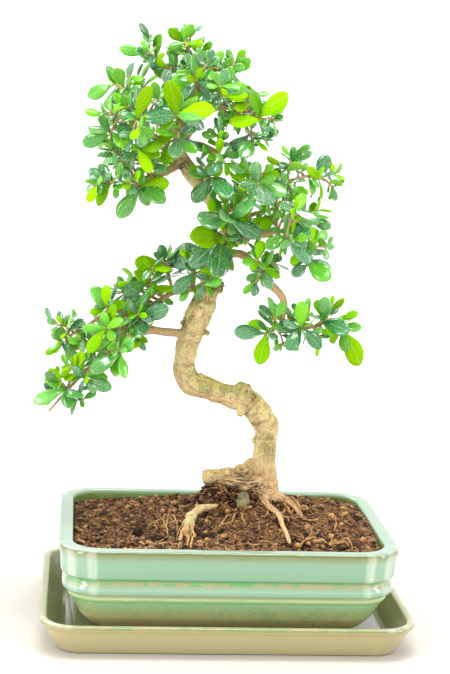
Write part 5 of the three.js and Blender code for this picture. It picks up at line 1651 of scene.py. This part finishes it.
class BONSAI_OT_leaves(bpy.types.Operator):
    """Grows the leafy sprays: each one's twig with the leaves that the solid has, and smaller ones"""
    bl_idname = "bonsai.leaves"
    bl_label = "Leaves"

    def execute(self, context):
        settings = context.scene.bonsai_leaves
        sprays = [Spray(name, *path_at(LIMBS[limb], share), tufts) for name, limb, share, tufts in SPRAYS]
        crowd = Crowd()
        for points in LIMBS.values():
            for hull in stretch_hulls(*line_of(points, 2)):
                crowd.add(hull, "wood")
        for spray in sprays:
            for hull in stretch_hulls(spray.line, spray.radii):
                crowd.add(hull, spray.name)
        grow_solid_leaves(sprays, crowd)
        sizes = (settings.fine_low / MM, settings.fine_high / MM)
        grow_fine_leaves(sprays, crowd, settings.fine_share, *sizes)
        grow_shoots(sprays, crowd, settings.shoots, *sizes)
        templates = [
            leaf_template("leaf_flat", 0.02, 0.03, 0.1), leaf_template("leaf_folded", 0.07, 0.03, -0.2),
            leaf_template("leaf_cupped", -0.01, 0.06, 0.25),
        ]
        leaf, twig = self.leaf(settings), self.twig()
        for order, spray in enumerate(sprays):
            twigs = [(spray.line, spray.radii)]
            twigs += [(shoot.line, shoot.radii * 0.75) for shoot in spray.shoots]
            blades = spray.blades + [blade for shoot in spray.shoots for blade in shoot.blades]
            parts = [tubes("twig", twigs, 1)]
            parts[0].data.materials.append(twig)
            for kind, template in enumerate(templates):
                matrices, tones = [], []
                for row, blade in enumerate(blades[kind::3]):
                    seed = order * 97 + row * 3 + kind
                    width = mix(0.66, 1.04, draw(seed, 41) ** 0.6)
                    matrix = np.eye(4)
                    matrix[:3, 0] = -blade.side * blade.length * width
                    matrix[:3, 1] = blade.direction * blade.length * 0.972
                    matrix[:3, 2] = blade.upper * blade.length
                    matrix[:3, 3] = blade.base
                    matrix[:3] *= MM
                    matrices.append(matrix)
                    tones.append((blade.age, draw(seed, 42), draw(seed, 43)))
                if matrices:
                    part = repeated("blades", template.data, matrices, tones)
                    part.data.materials.append(leaf)
                    parts.append(part)
            dressed(joined(parts, f"leaves_{spray.name}"), "leaf", f"spray_{spray.name}")
        for template in templates:
            bpy.data.objects.remove(template)
        return {"FINISHED"}

    def leaf(self, settings):
        """Fukien tea leaf: leathery and glossy above, dull and paler below, with a pale midrib and white dots."""
        material, tree, place = new_material("leathery_leaf")
        tone = add_node(tree, "Attribute", attribute_name="tone").outputs["Vector"]
        under = add_node(tree, "Attribute", attribute_name="under").outputs["Fac"]
        uv = add_node(tree, "UVMap", uv_map="leaf").outputs["UV"]
        ages = add_node(tree, "SeparateXYZ", {0: tone})
        flat = add_node(tree, "SeparateXYZ", {0: uv})
        across = add_node(tree, "Math", {0: flat.outputs[0], 1: 0.5}, operation="SUBTRACT")
        out = add_node(tree, "Math", {0: across}, operation="ABSOLUTE")
        # Blotches of a third of a leaf
        blotch = add_node(tree, "TexNoise", {"Vector": place, "Scale": 170, "Detail": 3})
        drift = add_node(tree, "Math", {0: blotch, 1: 0.3, 2: ages.outputs[0]}, operation="MULTIPLY_ADD")
        ramp = add_node(tree, "ValToRGB", {"Fac": drift}, [
            (0.15, settings.young), (0.5, linear("#75b90c")), (0.78, settings.middle), (1, settings.old),
        ])
        shade = add_node(tree, "MapRange", {"Value": ages.outputs[1], "To Min": 0.6, "To Max": 1.15})
        # Midrib 0.5 mm wide, side veins 2 mm apart
        rib = add_node(tree, "MapRange", {"Value": out, "From Min": 0.024, "From Max": 0.006, "To Max": 0.22})
        slant = add_node(tree, "Math", {0: out, 1: -0.9, 2: flat.outputs[1]}, operation="MULTIPLY_ADD")
        veins = add_node(tree, "Math", {0: slant, 1: 0.125}, operation="PINGPONG")
        vein = add_node(tree, "MapRange", {"Value": veins, "From Min": 0.03, "From Max": 0.004, "To Max": 0.07})
        lines = add_node(tree, "Math", {0: rib, 1: vein}, operation="MAXIMUM")
        # Old leaves have the thicker wax film and the clearer dots
        waxed = add_node(tree, "MapRange", {"Value": ages.outputs[0], "From Min": 0.25, "From Max": 0.8, "To Max": 1})
        # White dots that are 0.1 mm wide, drawn at 0.3 mm so that they show
        dots = add_node(tree, "TexVoronoi", {"Vector": uv, "Scale": 27})
        dot = add_node(tree, "MapRange", {"Value": dots, "From Min": 0.32, "From Max": 0.14, "To Max": 0.5})
        shown = add_node(tree, "Math", {0: dot, 1: waxed}, operation="MULTIPLY")
        # Painted sheen: a pale bluish film over the puckers of many old leaves, every 0.8 mm
        pucker = add_node(tree, "TexNoise", {"Vector": place, "Scale": 1200, "Detail": 2})
        sheen_draw = add_node(tree, "MapRange", {
            "Value": ages.outputs[2], "From Min": 0.3, "From Max": 0.85, "To Max": 0.42,
        })
        oldest = add_node(tree, "MapRange", {
            "Value": ages.outputs[0], "From Min": 0.5, "From Max": 0.9, "To Max": sheen_draw,
        })
        painted_sheen = add_node(tree, "MapRange", {"Value": pucker, "From Min": 0.38, "From Max": 0.64, "To Max": oldest})
        below = add_node(tree, "Math", {0: under, 1: 0.6}, operation="MULTIPLY")
        # The tints in the order above, each by its share
        colour = ramp
        for share, tint, way in (
            (1.0, shade, "MULTIPLY"), (lines, linear("#a5cf6a"), "MIX"), (shown, linear("#d9e8c8"), "MIX"),
            # The pale bluish tint is the painted sheen
            (painted_sheen, linear("#a9cdb4"), "MIX"), (below, settings.under, "MIX"),
        ):
            colour = add_node(tree, "Mix", {0: share, 6: colour, 7: tint}, data_type="RGBA", blend_type=way).outputs[2]
        gloss = add_node(tree, "MapRange", {"Value": under, "To Min": 0.4, "To Max": 0.7})
        above = add_node(tree, "Math", {0: 1.0, 1: under}, operation="SUBTRACT")
        wax = add_node(tree, "Math", {0: above, 1: waxed}, operation="MULTIPLY")
        raised = add_node(tree, "Math", {0: lines, 1: 2.0, 2: pucker}, operation="MULTIPLY_ADD")
        bump = add_node(tree, "Bump", {"Height": raised, "Strength": 0.7, "Distance": 0.0005})
        close_material(tree, {
            "Base Color": colour, "Roughness": gloss, "Normal": bump,
            "Specular IOR Level": 0.0, "Coat Weight": wax, "Coat Roughness": 0.14, "Coat IOR": 1.75,
            "Subsurface Weight": 0.3, "Subsurface Scale": 0.0006, "Subsurface Radius": (0.5, 1.0, 0.1),
        })
        return material

    def twig(self):
        """Young twig: green-brown rind, matt, with paler breathing pores."""
        material, tree, place = new_material("twig_rind")
        rind = add_node(tree, "TexNoise", {"Vector": place, "Scale": 420, "Detail": 5})
        ramp = add_node(tree, "ValToRGB", {"Fac": rind}, [
            (0.35, linear("#80603e")), (0.52, linear("#b48f66")), (0.68, linear("#d2b284")),
        ])
        bump = add_node(tree, "Bump", {"Height": rind, "Strength": 0.4, "Distance": 0.0004})
        close_material(tree, {"Base Color": ramp, "Roughness": 0.7, "Normal": bump})
        return material


# Stage

# Softboxes: place, width, height and power, and the point that they all face
LIGHTS = [
    ("left_strip", (-1.0, -0.75, 0.5), 0.35, 1.2, 11), ("right_strip", (1.1, -0.55, 0.5), 0.3, 1.2, 8),
    ("top_box", (0.05, -0.15, 1.3), 0.9, 0.35, 13), ("rear_box", (-0.4, 1.1, 1.0), 0.9, 0.5, 7),
]
LIGHT_AIM = (0, 0, 0.2)


class StageSettings(bpy.types.PropertyGroup):
    eye: bpy.props.FloatVectorProperty(
        name="Camera", description="Place of the camera", subtype="TRANSLATION",
        default=(-0.1054, -1.1029, 0.3692))
    turn: bpy.props.FloatVectorProperty(
        name="Turn", description="The camera's yaw to the right, pitch down and roll",
        subtype="EULER", default=tuple(math.radians(angle) for angle in (5.274, 9.048, 2.369)))
    lens: bpy.props.FloatProperty(name="Lens", description="Focal length in millimetres", default=90, min=10)
    sky: bpy.props.FloatProperty(name="Sky", description="Strength of the white surroundings", default=1.4, min=0)
    floor: colour_choice("Floor", "Colour of the floor", "#c5c1bb")


class BONSAI_OT_stage(bpy.types.Operator):
    """Sets up the floor, the soft lights and the camera"""
    bl_idname = "bonsai.stage"
    bl_label = "Stage"

    def execute(self, context):
        settings = context.scene.bonsai_stage
        bpy.ops.object.select_all(action="DESELECT")
        bpy.ops.mesh.primitive_plane_add(size=12, location=(0, 0, 0))
        floor = bpy.context.object
        floor.name = "floor"
        # Matt white studio paper, greyer round the object: painted shade that deepens its shadow on the floor
        material, tree, place = new_material("studio_paper")
        away = add_node(tree, "VectorMath", {0: place}, operation="LENGTH")
        wear_and_painted_light = add_node(tree, "MapRange", {
            "Value": away.outputs["Value"], "From Min": 0.16, "From Max": 0.6, "To Max": 1,
        }, interpolation_type="SMOOTHSTEP")
        paper = add_node(tree, "Mix", {0: wear_and_painted_light, 6: settings.floor, 7: linear("#fdfdfd")}, data_type="RGBA")
        close_material(tree, {"Base Color": paper.outputs[2], "Roughness": 0.9, "Specular IOR Level": 0.1})
        floor.data.materials.append(material)
        floor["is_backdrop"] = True
        world = context.scene.world or bpy.data.worlds.new("studio")
        context.scene.world = world
        world.use_nodes = True
        tree = world.node_tree
        tree.nodes.clear()
        way = add_node(tree, "SeparateXYZ", {0: add_node(tree, "TexCoord").outputs["Generated"]})
        white = add_node(tree, "MapRange", {
            "Value": way.outputs[1], "From Min": -0.7, "From Max": 0.7, "To Min": 0.72 * settings.sky,
            "To Max": settings.sky,
        }, interpolation_type="SMOOTHSTEP")
        sky = add_node(tree, "Background", {"Color": (1, 1, 1, 1), "Strength": white})
        add_node(tree, "OutputWorld", {"Surface": sky})
        context.scene.view_settings.view_transform = "Standard"
        for name, place, wide, tall, power in LIGHTS:
            bpy.ops.object.light_add(type="AREA", location=place)
            light = context.object
            light.name = name
            light.data.shape = "RECTANGLE"
            light.data.size, light.data.size_y = wide, tall
            light.data.energy = power
            aim = Vector(LIGHT_AIM) - light.location
            light.rotation_euler = aim.to_track_quat("-Z", "Y").to_euler()
        self.place_camera(context, settings)
        return {"FINISHED"}

    def place_camera(self, context, settings):
        yaw, pitch, roll = settings.turn
        forward = Vector((math.sin(yaw) * math.cos(pitch), math.cos(yaw) * math.cos(pitch), -math.sin(pitch)))
        right = Vector((math.cos(yaw), -math.sin(yaw), 0))
        up = right.cross(forward)
        turned = right * math.cos(roll) + up * math.sin(roll)
        raised = up * math.cos(roll) - right * math.sin(roll)
        bpy.ops.object.camera_add(location=settings.eye)
        camera = context.object
        camera.matrix_world = Matrix.Translation(settings.eye) @ Matrix(
            (turned, raised, -forward)).transposed().to_4x4()
        camera.data.lens = settings.lens
        camera.data.sensor_width = 36
        camera.data.clip_start = 0.01
        context.scene.camera = camera


# The panel and the order of the steps

GROUPS = {
    "bonsai_pot": PotSettings, "bonsai_soil": SoilSettings, "bonsai_wood": WoodSettings,
    "bonsai_leaves": LeafSettings, "bonsai_stage": StageSettings,
}
STEPS = {
    "bonsai_pot": (BONSAI_OT_tray, BONSAI_OT_pot), "bonsai_soil": (BONSAI_OT_soil, BONSAI_OT_litter),
    "bonsai_wood": (BONSAI_OT_wood,), "bonsai_leaves": (BONSAI_OT_leaves,), "bonsai_stage": (BONSAI_OT_stage,),
}


class BONSAI_PT_steps(bpy.types.Panel):
    bl_idname = "BONSAI_PT_steps"
    bl_label = "Fukien Tea Bonsai"
    bl_space_type = "VIEW_3D"
    bl_region_type = "UI"
    bl_category = "Bonsai"

    def draw(self, context):
        for group, steps in STEPS.items():
            box = self.layout.box()
            for step in steps:
                box.operator(step.bl_idname)
            for name in GROUPS[group].__annotations__:
                box.prop(getattr(context.scene, group), name)


CLASSES = (*GROUPS.values(), *(step for steps in STEPS.values() for step in steps), BONSAI_PT_steps)


def register():
    for item in CLASSES:
        bpy.utils.register_class(item)
    for name, group in GROUPS.items():
        setattr(bpy.types.Scene, name, bpy.props.PointerProperty(type=group))


def unregister():
    for name in GROUPS:
        delattr(bpy.types.Scene, name)
    for item in reversed(CLASSES):
        bpy.utils.unregister_class(item)


def main():
    register()
    bpy.ops.bonsai.tray()
    bpy.ops.bonsai.pot()
    bpy.ops.bonsai.soil()
    bpy.ops.bonsai.litter()
    bpy.ops.bonsai.wood()
    bpy.ops.bonsai.leaves()
    bpy.ops.bonsai.stage()
    boxes = {"cad": CAD_BOX, "scene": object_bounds()}
    {name: [list(corner) for corner in box] for name, box in boxes.items()}


if __name__ == "__main__":
    main()
